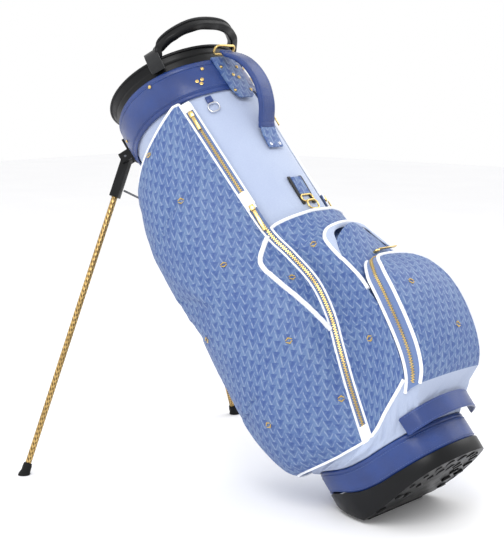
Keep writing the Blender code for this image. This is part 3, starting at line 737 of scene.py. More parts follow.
def stitches(name, points, out_of):
    """A row of stitches along a line; out_of(point) is the way the surface faces there."""
    line = spaced(points, STITCH_PITCH, STITCH_PITCH / 2)
    places = [axes(point, ahead, out_of(point)) for point, ahead in line]
    return repeat(name, capsule(STITCH_LENGTH, STITCH_RADIUS), places)


print("simulation, tubes and repeats ready")


# %% [markdown]
# `strap` is the soft closed strip that handles and loops are made of: rounded edges, and ends that
# close. `lay_on` drops a line of points onto a finished piece, so that piping and stitches follow
# what the cloth really does, and `refine` takes a hard part's shape from the frame, rounds its edges
# and stands for it.
# %% straps, lines on cloth, and rounded hard parts
def strap(name, points, width, thick, across, cells=(20, 64), square=0.4, blunt=0.02):
    """A closed strap along points; width(v) and thick(v) are its size, across is the way its width lies."""
    path = route(points, 201)

    def place(u, v, layer):
        i = min(int(v * 200), 199)
        middle = path[i].lerp(path[i + 1], v * 200 - i)
        ahead = (path[min(i + 3, 200)] - path[max(i - 2, 0)]).normalized()
        side = (across - ahead * across.dot(ahead)).normalized()
        end = math.sqrt(max(0.0, 1.0 - (1.0 - min(v, 1.0 - v, blunt) / blunt) ** 2))
        c, s = math.cos(2 * math.pi * u), math.sin(2 * math.pi * u)
        x = math.copysign(abs(c) ** square, c) * width(v) / 2 * lerp(0.9, 1.0, end)
        y = math.copysign(abs(s) ** square, s) * thick(v) / 2 * end
        return middle + side * x + ahead.cross(side) * y

    return outward(cloth(name, *cells, place, closed=True))


def mirrored_line(half):
    return [tuple(point) for point in half] + [(x, -y, z) for x, y, z in reversed(half[:-1])]


def lay_on(piece, points, lift=0.0):
    """Points moved onto a dressed piece and lifted off it, all upright: (points, outward directions)."""
    upright = [UPRIGHT @ vert.co for vert in piece.data.vertices]
    tree = BVHTree.FromPolygons(upright, [tuple(face.vertices) for face in piece.data.polygons])
    found = [tree.find_nearest(point) for point in points]
    return [place + normal * lift for place, normal, _, _ in found], [normal for _, normal, _, _ in found]


def facing(points, normals):
    """The outward direction at the point of a line that is nearest."""
    def out_of(point):
        return normals[min(range(len(points)), key=lambda i: (points[i] - point).length_squared)]
    return out_of


def refine(node, material, bevel, body, segments=2, angle=30.0):
    """A frame part's shape, its loose triangles joined, its flat faces whole and its edges rounded."""
    made = add_object(node + "_finished", nodes[node].data.copy())
    pick(made)
    bpy.ops.object.mode_set(mode="EDIT")
    bpy.ops.mesh.select_all(action="SELECT")
    bpy.ops.mesh.remove_doubles(threshold=2e-5)
    bpy.ops.mesh.dissolve_limited(angle_limit=math.radians(2.0))
    bpy.ops.mesh.normals_make_consistent(inside=False)
    bpy.ops.object.mode_set(mode="OBJECT")
    if bevel:
        apply_modifier(made, "BEVEL", width=bevel, segments=segments, limit_method="ANGLE",
                       angle_limit=math.radians(angle), harden_normals=False)
    return dress(made, material, body, (node,), lean=False, angle=32.0)


def mirror_left(piece):
    """The same piece for the far side."""
    copy = add_object(piece.name.replace("right", "left"), piece.data.copy())
    copy.data.transform(Matrix.Diagonal((1.0, -1.0, 1.0, 1.0)))
    copy.data.flip_normals()
    return copy


def both_sides(piece, material, stands_for=None):
    """Dresses a right-hand piece and its mirrored copy; names ending in right have a left."""
    for made, side in ((mirror_left(piece), "left"), (piece, "right")):
        replaced = (stands_for.replace("right", side),) if stands_for else ()
        dress(made, material, stands_for=replaced)


print("straps and edges ready")

# %% [markdown]
# ## The shell
# The shell is a sleeve of lavender cloth over a thin stiff tube, dark inside. It stays a little
# uneven, as cloth glued over a former does: slow waves along it, a fraction of a millimetre high.
# %% shell of the bag
HEEL_RISE, BOOT_TOP, BAND_TOP = 0.034, 0.034, 0.080
CUFF_LOW, COLLAR_HEIGHT, SHELL_OUT = 0.797, 0.068, -0.0055


def rise(angle):
    """The base is cut away at the heel, so its bands climb towards the back."""
    return HEEL_RISE * ease((abs(wrapped(angle)) - 80.0) / 55.0)


def shell(u, v, layer):
    angle = 360.0 * (0.5 - u)
    low = BOOT_TOP + rise(angle) + 0.001
    height = lerp(low, CUFF_LOW - 0.0005, v)
    wave = noise.noise(Vector((math.cos(math.radians(angle)) * 2.0, math.sin(math.radians(angle)) * 2.0,
                               height * 5.0)))
    fold = noise.noise(Vector((angle * 0.10, height * 3.0, 4.0))) * ease(v * 6.0)
    return outline(height, angle, SHELL_OUT + 0.0007 * wave + 0.0006 * fold)


body_shell = thicken(cloth("body_shell", 120, 90, shell, closed=True), 0.0026, inner=1)
dress(body_shell, LAVENDER, stands_for=("body_tube",), lining=LINING)
print("shell:", len(body_shell.data.polygons), "faces")

# %% [markdown]
# ## The base
# The boot is moulded plastic with a rounded foot and a tread of small lugs; it is cut back at the
# heel, where the rocker plate goes. Above it a leather band, hemmed with two rows of stitches, grips
# the shell.
# %% boot, rocker plate and tread
TOE_RISE, SOLE = 0.010, 0.020  # the toe's rise, and how high up the boot it fades out


def toe_lift(x):
    """The sole curves up a little towards the toe."""
    return TOE_RISE * ease((x + 0.01) / 0.13)


boot = refine("base_boot", PLASTIC, 0.0022, "bag", 3)
for vert in boot.data.vertices:
    spot = UPRIGHT @ vert.co
    spot.z += toe_lift(spot.x) * clamp(1.0 - spot.z / SOLE)
    vert.co = BAG @ spot
refine("heel_plate", RUBBER, 0.0012, "heel_plate", 2)
refine("heel_pin", STEEL, 0.0004, "bag")


LUG_ROWS = ((-0.016, 96, 16), (-0.046, 80, 20))  # how far in, and the angles: up to, every
lug_places = []
for inset, reach, step in LUG_ROWS:
    for angle in range(-reach, reach + 1, step):
        spot = outline(0.0, angle, inset)
        spot.z = toe_lift(spot.x) - 0.0014
        lug_places.append(Matrix.Translation(spot) @ Matrix.Rotation(-math.radians(angle), 4, "Z"))
lug = bevelled_block((0.016, 0.010, 0.0044), 0.0009, 2, high=0.0012)
dress(repeat("boot_tread", lug, lug_places), PLASTIC, angle=30.0)
print("tread:", len(lug_places), "lugs")

# %% leather band
def band_line(angle, v):
    low, high = BOOT_TOP + 0.0002, BAND_TOP - 0.2 * rise(angle)
    return lerp(low, high, v) + rise(angle)


def band(u, v, layer):
    angle = 360.0 * (0.5 - u)
    crown = 0.0012 * math.sin(math.pi * v) ** 0.5 - 0.0009 * ease(1.0 - abs(v - 0.84) / 0.03)
    roll = -0.0018 * (ease((0.05 - v) / 0.05) + ease((v - 0.95) / 0.05))
    return outline(band_line(angle, v), angle, 0.0010 + crown + roll)


leather_band = thicken(cloth("leather_band_cover", 144, 30, band, closed=True), 0.0030)
dress(leather_band, LEATHER, stands_for=("leather_band",))


def ring_line(height_of, grow, steps=288):
    return [outline(height_of(360.0 * k / steps), 360.0 * k / steps, grow) for k in range(steps + 1)]


def level_out(point):
    return Vector((point.x, point.y, 0.0)).normalized()


for i, v in enumerate((0.10, 0.78)):
    line = ring_line(lambda angle, v=v: band_line(angle, v), 0.0022)
    dress(stitches(f"band_stitches_{i}", line, level_out), THREAD)
print("band stitched twice round")

# %% [markdown]
# ## The front panel
# The printed front is one cloth from the left zip to the right one. It is flat against the shell at
# the top, and lower down it is pulled out over the corners of the drink and ball pockets. So each
# level has a corner, and the cloth runs from the zip round to that corner in a slack curve. Between
# the corners it is crowned, and below the mouth of the drink pocket it drops back, to be that
# pocket's back wall.
# %% zip line and corners
ZIP_LINE = ((0.09, 75.0), (0.19, 62.0), (0.25, 53.0), (0.31, 44.0), (0.37, 40.5), (0.43, 45.0), (0.48, 50.5),
            (0.56, 52.0), (0.80, 53.0))
ZIP_EDGE = 3.8  # degrees from the middle of a zip to the cloth beside it
PANEL_TOP = 0.490
BALL_HALF = ((0.12, 0.090), (0.20, 0.092), (0.27, 0.088), (0.31, 0.079), (0.345, 0.060), (0.364, 0.030))
BALL_FRONT = ((0.12, 0.178), (0.15, 0.207), (0.20, 0.226), (0.27, 0.234), (0.32, 0.226), (0.345, 0.212),
              (0.366, 0.188))
GUSSET = 0.030  # the width of the ball pocket's zipped side
FACE_EDGE = 0.016  # how far that side starts behind the foremost line of the pocket
CORNER_X = ((0.302, 0.1800), (0.330, 0.1725), (0.356, 0.1650), (0.380, 0.1570), (0.405, 0.1485),
            (0.425, 0.1420), (0.440, 0.1360), (0.462, 0.1265), (0.490, 0.1235))
CORNER_Y = ((0.302, 0.0815), (0.330, 0.0740), (0.356, 0.0725), (0.380, 0.0710), (0.405, 0.0690),
            (0.425, 0.0625), (0.440, 0.0520), (0.462, 0.0400), (0.490, 0.0250))


def zip_angle(height):
    return through(ZIP_LINE, height)


def ball_side(height):
    """The outer corner of the ball pocket: how far forward and how far across."""
    return through(BALL_FRONT, height) - FACE_EDGE - GUSSET, 1.03 * through(BALL_HALF, height)


def corner(height):
    low_x, low_y = ball_side(min(height, 0.302))
    blend = ease((height - 0.27) / 0.032)
    return lerp(low_x, through(CORNER_X, height), blend), lerp(low_y, through(CORNER_Y, height), blend)


def panel_point(height, across):
    """A point of the panel; across runs from -1 at the right-hand zip to 1 at the left-hand one."""
    side = math.copysign(1.0, across)
    seam = outline(height, zip_angle(height) - ZIP_EDGE, 0.0045)
    x, y = corner(height)
    if abs(across) >= 0.4:
        t = (1.0 - abs(across)) / 0.6
        pull = Vector((lerp(seam.x, x, 0.55), max(-seam.y, y) + 0.004, height))
        start, end = Vector((seam.x, -seam.y, height)), Vector((x, y, height))
        made = start * (1 - t) ** 2 + pull * 2 * t * (1 - t) + end * t**2
        return Vector((made.x, side * made.y, height))
    t = abs(across) / 0.4
    crown = 0.011 * ease((PANEL_TOP - height) / 0.05) - 0.016 * ease((0.4420 - height) / 0.006)
    return Vector((x + crown * (1.0 - t**2), side * y * t, height))


def hem_height(across):
    """The panel's lower edge: low at the zips, higher beside the ball pocket."""
    return lerp(0.104, 0.150, clamp((1.0 - abs(across)) / 0.6) ** 1.5)


def front(u, v, layer):
    across = 2.0 * u - 1.0
    height = lerp(hem_height(across), PANEL_TOP, v)
    return panel_point(height, across)


front_panel = thicken(cloth("front_panel_cloth", 120, 96, front), 0.0016, inner=1)
dress(front_panel, PRINTED, stands_for=("front_panel",), lining=LAVENDER)
print("front panel:", len(front_panel.data.polygons), "faces")

# %% [markdown]
# ## The tall side pockets
# Each side pocket is a slack printed pouch, sewn down all round, fullest at the back. The grid gets
# the pocket's rough fullness by formula, and then a short cloth simulation with sewn edges gives it
# the soft tension and small puckers that a formula can't. The far side is its mirror image.
# %% side pockets
POCKET_BACK, PRINT_LOW = 152.0, 0.103
POCKET_PROUD = ((0.09, 0.040), (0.14, 0.066), (0.22, 0.074), (0.40, 0.070), (0.60, 0.062), (0.70, 0.048),
                (0.80, 0.010))


def collar_edge(angle):
    turn = math.radians(angle)
    return COLLAR_TOP - 0.003 + 0.003 * math.cos(turn) - 0.008 * math.cos(2.0 * turn)


def pocket_spot(u, v):
    """Height and angle of a place on the side pocket: u from the back to the zip, v upwards."""
    height = lerp(PRINT_LOW, 0.78, v)
    for _ in range(12):
        angle = lerp(POCKET_BACK, zip_angle(height) + ZIP_EDGE, u)
        high = collar_edge(angle) - COLLAR_HEIGHT - 0.002 - 0.0013 * max(0.0, angle - 62.0)
        height = lerp(PRINT_LOW + 0.5 * rise(angle), high, v)
    return height, angle


def pocket_point(height, angle, v=0.5):
    """A point of the pocket's surface: it swells away from its seams."""
    u = (POCKET_BACK - angle) / (POCKET_BACK - zip_angle(height) - ZIP_EDGE)
    swell = math.sin(math.pi * clamp(1.0 - u) ** 1.35) ** 0.75
    edge = min(1.0, 4.5 * min(v, 1.0 - v)) ** 0.5
    proud = 0.0035 + through(POCKET_PROUD, height) * swell * lerp(0.6, 1.0, edge)
    return outline(height, angle, proud)


def side_pocket(u, v, layer):
    height, angle = pocket_spot(u, v)
    return pocket_point(height, angle, v) if layer else outline(height, angle, -0.0050)


def sewn_edges(columns, rows, width=3):
    """Firmness for settle: 1 on a grid's border and its turned-in hem, falling to 0 a few rows in."""
    count = (columns + 1) * (rows + 1)

    def held(vert):
        if vert.index >= count:
            return 1.0
        i, j = vert.index % (columns + 1), vert.index // (columns + 1)
        return clamp(1.0 - min(i, columns - i, j, rows - j) / width)
    return held


POCKET_GRID = (72, 108)
side_pocket_right = cloth("side_pocket_cloth_right", *POCKET_GRID, side_pocket, turned_in=True)
settle(side_pocket_right, sewn_edges(*POCKET_GRID), pressure=0.5, slack=0.015, cap=0.005)
both_sides(side_pocket_right, PRINTED, "side_pocket_right")
print("side pockets:", len(side_pocket_right.data.polygons), "faces each")

# %% [markdown]
# ## The ball pocket
# The ball pocket is a printed face, rounded at the top, on a narrow zipped side. White piping edges
# the face and the outside of the gusset, and the zip runs between them, up one side, over the top and
# down the other.
# %% ball pocket
BALL_LOW, BALL_TOP, BALL_WIDE = 0.131, 0.355, 0.0885
SHOULDER, STRAIGHT = 0.215, 0.24  # where the arch starts to bend, and the share of each half below it


def arch(t, grow):
    """The arch round the ball pocket's face, from its lower right corner (0) to its lower left: y, z."""
    half, top = BALL_WIDE + grow, BALL_TOP + grow
    turn = (t - 0.5) / 0.5
    rest = 1.0 - abs(turn)
    if rest < STRAIGHT:
        wide = half * lerp(0.985, 1.0, ease(rest / STRAIGHT))
        return math.copysign(wide, turn), lerp(BALL_LOW, SHOULDER, rest / STRAIGHT)
    bend = math.radians(90.0 * (rest - STRAIGHT) / (1.0 - STRAIGHT))
    return (math.copysign(half * math.cos(bend) ** (2 / 2.5), turn),
            SHOULDER + (top - SHOULDER) * math.sin(bend) ** (2 / 2.5))


def face_front(across, z):
    """How far forward the face is: crowned from side to side, and rolled back at its top."""
    rolled = ease((z - 0.29) / 0.065)
    return through(BALL_FRONT, z) - 0.005 - 0.007 * lerp(across**2, 1.0, rolled)


def ball_face(u, v, layer):
    across = 2.0 * u - 1.0
    edge_y, edge_z = arch(1.0 - 0.5 * v, 0.0)
    return Vector((face_front(across, edge_z), across * edge_y, edge_z))


def gusset(u, v, layer):
    """The zipped side: v runs from the face back to the outer piping, and a little further at its end."""
    inner, outer = arch(u, 0.0), arch(u, 0.0045)
    start = Vector((face_front(1.0, inner[1]) - 0.001, *inner))
    lowered = GUSSET * lerp(0.75, 1.0, ease((0.36 - inner[1]) / 0.05))
    end = Vector((face_front(1.0, inner[1]) - lowered, *outer))
    bulge = 0.0022 * math.sin(math.pi * clamp(v)) * Vector((0.0, outer[0] / BALL_WIDE, 0.4))
    return start.lerp(end, v) + bulge


FACE_GRID = (64, 72)
ball_cloth = cloth("ball_pocket_face", *FACE_GRID, ball_face)
settle(ball_cloth, sewn_edges(*FACE_GRID), pressure=0.6, slack=0.006, cap=0.003)
ball_cloth = thicken(outward(ball_cloth), 0.0015)
ball_gusset = thicken(cloth("ball_pocket_gusset", 160, 10, gusset), 0.0015)
dress(ball_cloth, PRINTED, stands_for=("ball_pocket",))
dress(ball_gusset, TAPE)
print("ball pocket:", len(ball_cloth.data.polygons) + len(ball_gusset.data.polygons), "faces")

# %% [markdown]
# ## The drink pocket
# Above the ball pocket sits an open pocket: a printed front, an opening shaped like an eyelid, and a
# lavender facing inside its edge.
# %% drink pocket and facing
RIM_LOW, RIM_CREST = 0.411, 0.4365


def rim_height(across):
    return lerp(RIM_CREST, RIM_LOW, abs(across) ** 2.2)


def drink_front(u, v, layer):
    across = 2.0 * u - 1.0
    height = lerp(0.305, rim_height(across), v)
    x, y = corner(height)
    away = ease((height - 0.376) / 0.034)
    crest = lerp(0.184, 0.162, v)
    edge_x, edge_y = x - 0.0015 + 0.007 * away, y - 0.0035 - 0.0125 * away
    return Vector((lerp(crest, edge_x, abs(across) ** 2.4), across * edge_y, height))


LIP_OUTER = ((0.1575, -0.0712, 0.378), (0.1495, -0.0695, 0.405), (0.1440, -0.0630, 0.425),
             (0.1455, -0.0490, 0.4385), (0.1490, -0.0260, 0.4440), (0.1505, 0.0, 0.4455))
LIP_INNER = ((0.1585, -0.0695, 0.380), (0.1545, -0.0610, 0.395), (0.1530, -0.0535, 0.409),
             (0.1505, -0.0440, 0.427), (0.1480, -0.0250, 0.4360), (0.1490, 0.0, 0.4375))
LIP_EDGES = [route([Vector(p) for p in mirrored_line(half)], 121) for half in (LIP_OUTER, LIP_INNER)]


def lip(u, v, layer):
    """The facing: from its piped outer edge inwards, round the mouth of the pocket."""
    i = round(u * 120)
    return LIP_EDGES[0][i].lerp(LIP_EDGES[1][i], v) + Vector((0.0012 * math.sin(math.pi * v), 0.0, 0.0))


drink_cloth = thicken(cloth("drink_pocket_front", 56, 40, drink_front), 0.0018, inner=1)
drink_lip = thicken(cloth("drink_pocket_facing", 120, 6, lip), 0.0016)
dress(drink_cloth, PRINTED, stands_for=("drink_pocket",), lining=LAVENDER)
dress(drink_lip, LAVENDER)
print("drink pocket:", len(drink_cloth.data.polygons) + len(drink_lip.data.polygons), "faces")

# %% [markdown]
# ## The skirt
# Between the leather band and the printed cloth is a soft lavender skirt. Its top edge follows the
# lower edges of the pockets, so it is gathered out under the ball pocket, and it creases where it is
# pulled down to the band.
# %% the hem line round the bag, and the skirt
def hem_points():
    """The lower edge of the printed cloth, from the front's middle by the right side to the back's."""
    face = np.linspace(0.0, 0.985, 9)
    points = [Vector((face_front(a, BALL_LOW), -BALL_WIDE * a, BALL_LOW)) for a in face]
    points += [panel_point(hem_height(-a), -a) for a in np.linspace(0.42, 0.98, 14)]
    for u in np.linspace(1.0, 0.0, 24):
        height, angle = pocket_spot(u, 0.0)
        points.append(outline(height, angle, 0.0035 + 0.012 * math.sin(math.pi * (1.0 - u)) ** 0.75))
    for angle in (160.0, 170.0, 180.0):
        points.append(outline(PRINT_LOW + 0.5 * rise(angle), angle, 0.0))
    return points


HEM = hem_points()
hem_length = np.concatenate([[0.0], np.cumsum([(b - a).length for a, b in zip(HEM, HEM[1:])])])


def hem(t):
    """A point of the hem, t from 0 at the front's middle to 1 at the back's."""
    due = t * hem_length[-1]
    i = min(int(np.searchsorted(hem_length, due, side="right")) - 1, len(HEM) - 2)
    return HEM[i].lerp(HEM[i + 1], (due - hem_length[i]) / (hem_length[i + 1] - hem_length[i]))


def skirt(u, v, layer):
    turn = 1.0 - 2.0 * u
    top = hem(abs(turn))
    angle = math.degrees(math.atan2(-top.y, (top.x - 0.002) * 0.86))
    low = outline(BAND_TOP + 0.8 * rise(angle) + 0.001, angle, 0.0005)
    near = ease((0.24 - abs(turn)) / 0.14)
    point = low.lerp(top, v ** (1.0 + 1.0 * near))
    point.z = lerp(low.z, top.z, v)
    out = Vector((point.x, point.y, 0.0)).normalized()
    slack = math.sin(math.pi * v)
    creases = noise.noise(Vector((turn * 40.0 + 5.0 * v, v * 1.2 + turn * 6.0, 2.0))) * 0.0050
    creases += noise.noise(Vector((turn * 13.0 + 2.0 * v, v * 2.0, 7.0))) * 0.0060
    point += out * slack * (0.0030 * (1.0 - near) + creases * (1.0 - 0.5 * near))
    return Vector((point.x, -math.copysign(point.y, turn), point.z)) if turn < 0 else point


skirt_cloth = thicken(cloth("skirt_cloth", 260, 16, skirt, closed=True), 0.0015)
dress(skirt_cloth, LAVENDER, stands_for=("skirt",), angle=60.0)
print("skirt:", len(skirt_cloth.data.polygons), "faces")

# %% base strap
STRAP_HALF = ((0.112, -0.093, 0.088), (0.137, -0.074, 0.090), (0.153, -0.042, 0.092), (0.158, 0.0, 0.093))
base_strap = strap("base_strap_leather", mirrored_line(STRAP_HALF), lambda v: 0.031, lambda v: 0.0034,
                   Vector((0.0, 0.0, 1.0)), square=0.18, blunt=0.01)
dress(base_strap, LEATHER, stands_for=("base_strap",))
for name, lift in (("upper", 0.0125), ("lower", -0.0125)):
    line = [point + Vector((0.0, 0.0, lift)) for point in route(mirrored_line(STRAP_HALF), 80)[3:-3]]
    line = [point + level_out(point) * 0.0018 for point in line]
    dress(stitches(f"base_strap_stitches_{name}", line, level_out), THREAD)
print("base strap stitched")

# %% [markdown]
# ## Piping
# White piping covers each seam: a cord in a folded strip of cloth. Each line is worked out in the
# same way as the edge it covers and swept with a round cord; only the slanted pocket's line is
# dropped onto the cloth.
# %% piping round the pockets
PIPE = 0.0030


def edge_line(u_values, v_values, place, count):
    """Points of place(u, v) from one corner to another."""
    return [place(lerp(*u_values, t), lerp(*v_values, t), 1.0) for t in np.linspace(0.0, 1.0, count)]


def pipe(name, points, radius=PIPE, side=None):
    made = tube(name, points, radius)
    if side == "right":
        both_sides(made, PIPING)
    else:
        dress(made, PIPING)


pocket_rim = edge_line((1.0, 0.0), (1.0, 1.0), side_pocket, 40)
pocket_rim += edge_line((0.0, 0.0), (1.0, 0.0), side_pocket, 90)
pocket_rim += edge_line((0.0, 1.0), (0.0, 0.0), side_pocket, 50)
pipe("side_pocket_piping_right", pocket_rim, 0.0024, "right")
pipe("side_pocket_zip_piping_right", edge_line((1.0, 1.0), (0.0, 1.0), side_pocket, 120), 0.0022, "right")
panel_side = [panel_point(lerp(hem_height(-1.0), PANEL_TOP, t), -1.0) for t in np.linspace(0.0, 1.0, 100)]
panel_hem = [panel_point(hem_height(-a), -a) for a in np.linspace(1.0, 0.405, 40)]
pipe("front_panel_zip_piping_right", panel_side, 0.0022, "right")
pipe("front_panel_hem_piping_right", panel_hem, side="right")
upper_side = [outline(h, zip_angle(h) - ZIP_EDGE, 0.0010) for h in np.linspace(0.545, 0.765, 60)]
pipe("upper_zip_front_piping_right", upper_side, 0.0024, "right")
pipe("front_panel_top_piping", [panel_point(PANEL_TOP, a) for a in np.linspace(-1.0, 1.0, 80)])
round_the_face = np.linspace(0.0, 1.0, 160)
proud_of_face = Vector((0.002, 0.0, 0.0))
pipe("ball_pocket_inner_piping", [gusset(t, 0.0, 1.0) + proud_of_face for t in round_the_face])
pipe("ball_pocket_outer_piping", [gusset(t, 1.0, 1.0) for t in round_the_face])
low_mouth = [Vector((corner(h)[0] + 0.001, -corner(h)[1], h)) for h in np.linspace(0.305, 0.372, 14)]
whole_mouth = low_mouth + LIP_EDGES[0] + [Vector((p.x, -p.y, p.z)) for p in reversed(low_mouth)]
pipe("drink_pocket_piping", whole_mouth, 0.0032)
print("piping laid")

# %% piping of the small slanted pocket
SLANT = ((0.480, 54.0), (0.467, 59.5), (0.451, 65.0), (0.431, 67.0), (0.390, 63.0), (0.342, 57.0),
         (0.288, 51.0))


def slant_line(count):
    table = [[(i, spot[axis]) for i, spot in enumerate(SLANT)] for axis in range(2)]
    spots = [[through(column, k * (len(SLANT) - 1) / (count - 1)) for column in table] for k in range(count)]
    return [pocket_point(height, angle) for height, angle in spots]


slant, _ = lay_on(side_pocket_right, slant_line(80), 0.0012)
pipe("slant_pocket_piping_right", slant, 0.0044, "right")
print("slanted pocket piped,", len(slant), "points")

# %% [markdown]
# ## Zips
# A zip is two ribbed tapes whose teeth meet in the middle. One tooth is modelled, with its edges
# bevelled, and repeated along the zip's line, set alternately to one side and the other. White tabs
# close both ends.
# %% zips with real teeth
UPPER_ZIP, LOWER_ZIP = (0.560, 0.757), (0.108, 0.548)
TOOTH_PITCH, TOOTH = 0.0021, (0.0016, 0.0044, 0.0017)


def teeth(name, points, out_of):
    places = []
    for k, (point, ahead) in enumerate(spaced(points, TOOTH_PITCH)):
        placed = axes(point, ahead, out_of(point))
        side = placed.to_3x3() @ Vector((0.0, 0.0009 if k % 2 else -0.0009, 0.0))
        places.append(Matrix.Translation(side) @ placed)
    return repeat(name, bevelled_block(TOOTH, 0.00028, 1), places)


def zip_tape(heights):
    def place(u, v, layer):
        height = lerp(*heights, v)
        ridge = 0.0006 * ease(1.0 - abs(u - 0.5) / 0.16)
        return outline(height, zip_angle(height) + lerp(ZIP_EDGE, -ZIP_EDGE, u), 0.0028 + ridge)
    return place


def zip_middle(heights):
    return [outline(h, zip_angle(h), 0.0040) for h in np.linspace(*heights, 160)]


for level, heights in (("upper", UPPER_ZIP), ("lower", LOWER_ZIP)):
    tape = thicken(cloth(f"{level}_zip_tape_right", 12, 110, zip_tape(heights)), 0.0010)
    both_sides(tape, TAPE, f"{level}_zip_right")
    both_sides(teeth(f"{level}_zip_teeth_right", zip_middle(heights), level_out), GOLD)
ball_line = [gusset(t, 0.46, 1.0) for t in np.linspace(0.01, 0.99, 300)]
ball_out = [Vector((0.0, point.y, point.z - 0.20)).normalized() for point in ball_line]
ball_line = [point + out * 0.0006 for point, out in zip(ball_line, ball_out)]
dress(teeth("ball_zip_teeth", ball_line, facing(ball_line, ball_out)), GOLD)
print("zips: teeth every", 1000 * TOOTH_PITCH, "mm")


# %% end tabs of the zips
TAB_EDGE = ZIP_EDGE + 0.3
END_TABS = (("upper_zip_top_tab_right", (0.750, 0.768)), ("upper_zip_low_tab_right", (0.552, 0.572)),
            ("lower_zip_top_tab_right", (0.536, 0.552)), ("lower_zip_low_tab_right", (0.100, 0.126)))


def end_tab(name, heights):
    def place(u, v, layer):
        height = lerp(*heights, v)
        crown = 0.0058 - 0.0012 * abs(2 * v - 1) ** 3
        return outline(height, zip_angle(height) + lerp(TAB_EDGE, -TAB_EDGE, u), crown)

    both_sides(thicken(cloth(name, 10, 10, place), 0.0022), PIPING)


for name, heights in END_TABS:
    end_tab(name, heights)
print("zip ends covered")

# %% [markdown]
# ## Stitched marks
# Small gold diamonds are embroidered here and there on the printed cloth. Four satin stitches make
# one; they are laid on the cloth where it is nearest.
# %% gold diamonds on the pockets
SATIN = (0.0085, 0.0008)  # a satin stitch's length and radius
ARMS = ((0, 28, -0.0022), (0, -28, 0.0022), (180, 28, -0.0022), (180, -28, 0.0022))  # turn, lean, shift


def diamond():
    """Four short stitches, end to end, in the x-y plane."""
    arms = []
    for turn, lean, shift in ARMS:
        out = Matrix.Rotation(math.radians(turn), 4, "Z") @ Matrix.Translation((0.0, 0.0042, 0.0006))
        leaning = Matrix.Rotation(math.radians(lean), 4, "Z") @ Matrix.Translation((shift, 0.0, 0.0))
        arms.append(out @ leaning)
    return repeat("diamond", capsule(*SATIN), arms)


def marks(name, piece, spots):
    points, outs = lay_on(piece, spots, 0.0002)
    placed = [axes(point, Vector((0.0, 0.35, 1.0)).cross(out), out) for point, out in zip(points, outs)]
    return repeat(name, diamond(), placed)


POCKET_SPOTS = ((0.725, 92.0), (0.610, 86.0), (0.470, 84.0), (0.300, 76.0), (0.205, 104.0), (0.385, 110.0),
                (0.395, 54.0), (0.180, 72.0))
for side, sign in (("left", -1.0), ("right", 1.0)):
    spots = [pocket_point(height, angle) for height, angle in POCKET_SPOTS]
    mirrored = [Vector((spot.x, sign * spot.y, spot.z)) for spot in spots]
    pocket = bpy.data.objects[f"side_pocket_cloth_{side}"]
    dress(marks(f"side_pocket_marks_{side}", pocket, mirrored), GOLD_THREAD)
PANEL_SPOTS = ((0.425, -0.60), (0.235, -0.66), (0.30, 0.70))
panel_spots = [panel_point(height, across) for height, across in PANEL_SPOTS]
dress(marks("front_panel_marks", front_panel, panel_spots), GOLD_THREAD)
face_spots = [Vector((0.24, y, z)) for y, z in ((-0.035, 0.285), (0.03, 0.19))]
dress(marks("ball_pocket_marks", ball_cloth, face_spots), GOLD_THREAD)
print("stitched marks:", 2 * len(POCKET_SPOTS) + len(panel_spots) + len(face_spots))

# %% [markdown]
# ## The top
# The collar is a broad leather band with a rolled upper hem and a folded lower one, each with its row
# of stitches. Inside it stands the moulded cuff, which flares out to a bead and carries the divider.
# %% collar
def collar_cover(u, v, layer):
    angle = 360.0 * (0.5 - u)
    height = collar_edge(angle) - COLLAR_HEIGHT * (1.0 - v)
    groove = ease(1.0 - abs(v - 0.86) / 0.025) + 1.3 * ease(1.0 - abs(v - 0.13) / 0.03)
    roll = ease((0.035 - v) / 0.035) + ease((v - 0.965) / 0.035)
    puff = 0.0016 * math.sin(math.pi * clamp((v - 0.13) / 0.73)) ** 0.6
    wave = 0.0005 * noise.noise(Vector((angle * 0.05, v * 2.0, 3.0)))
    return outline(height, angle, 0.0004 + puff + wave - 0.0009 * groove - 0.0022 * roll)


def collar_row(v, lift):
    return ring_line(lambda angle: collar_edge(angle) - COLLAR_HEIGHT * (1.0 - v), lift)


collar_leather = thicken(cloth("collar_leather", 160, 48, collar_cover, closed=True), 0.0040, inner=1)
dress(collar_leather, LEATHER, stands_for=("collar",), lining=LINING)
dress(stitches("collar_stitches_upper", collar_row(0.86, 0.0006), level_out), THREAD)
dress(stitches("collar_stitches_lower", collar_row(0.175, 0.0014), level_out), THREAD)
print("collar:", len(collar_leather.data.polygons), "faces")

# %% cuff
def cuff_edge(angle):
    turn = math.radians(angle)
    return 0.870 - 0.002 * math.cos(turn) - 0.0045 * math.cos(2.0 * turn)


def cuff_shape(u, v, layer):
    angle = 360.0 * (0.5 - u)
    height = lerp(CUFF_LOW, cuff_edge(angle), v)
    flare = 0.0055 * ease((height - 0.850) / 0.030)
    step = -0.0010 * ease(1.0 - abs(v - 0.80) / 0.03)
    return outline(height, angle, SHELL_OUT + flare + step)


cuff = thicken(cloth("cuff_moulding", 144, 40, cuff_shape, closed=True), 0.0038)
dress(cuff, PLASTIC, stands_for=("cuff",))
bead_line = [outline(cuff_edge(angle) - 0.0006, angle, -0.0018) for angle in range(0, 360, 3)]
dress(tube("cuff_bead", bead_line, 0.0028, closed=True), PLASTIC)
divider = refine("divider_frame", LINING, 0.0035, "bag", 3)
print("cuff:", len(cuff.data.polygons), "faces, and the divider")

# %% [markdown]
# ### Divider curtains
# Fabric walls hang from the divider's bars down into the bag, to keep the clubs apart. Each is a
# hemmed sheet that hangs in slow waves, so it is declared as a sheet with the size it is cut to.
# %% curtains hung from the divider
CURTAIN_LOW, CURTAIN_HIGH = 0.300, 0.8215


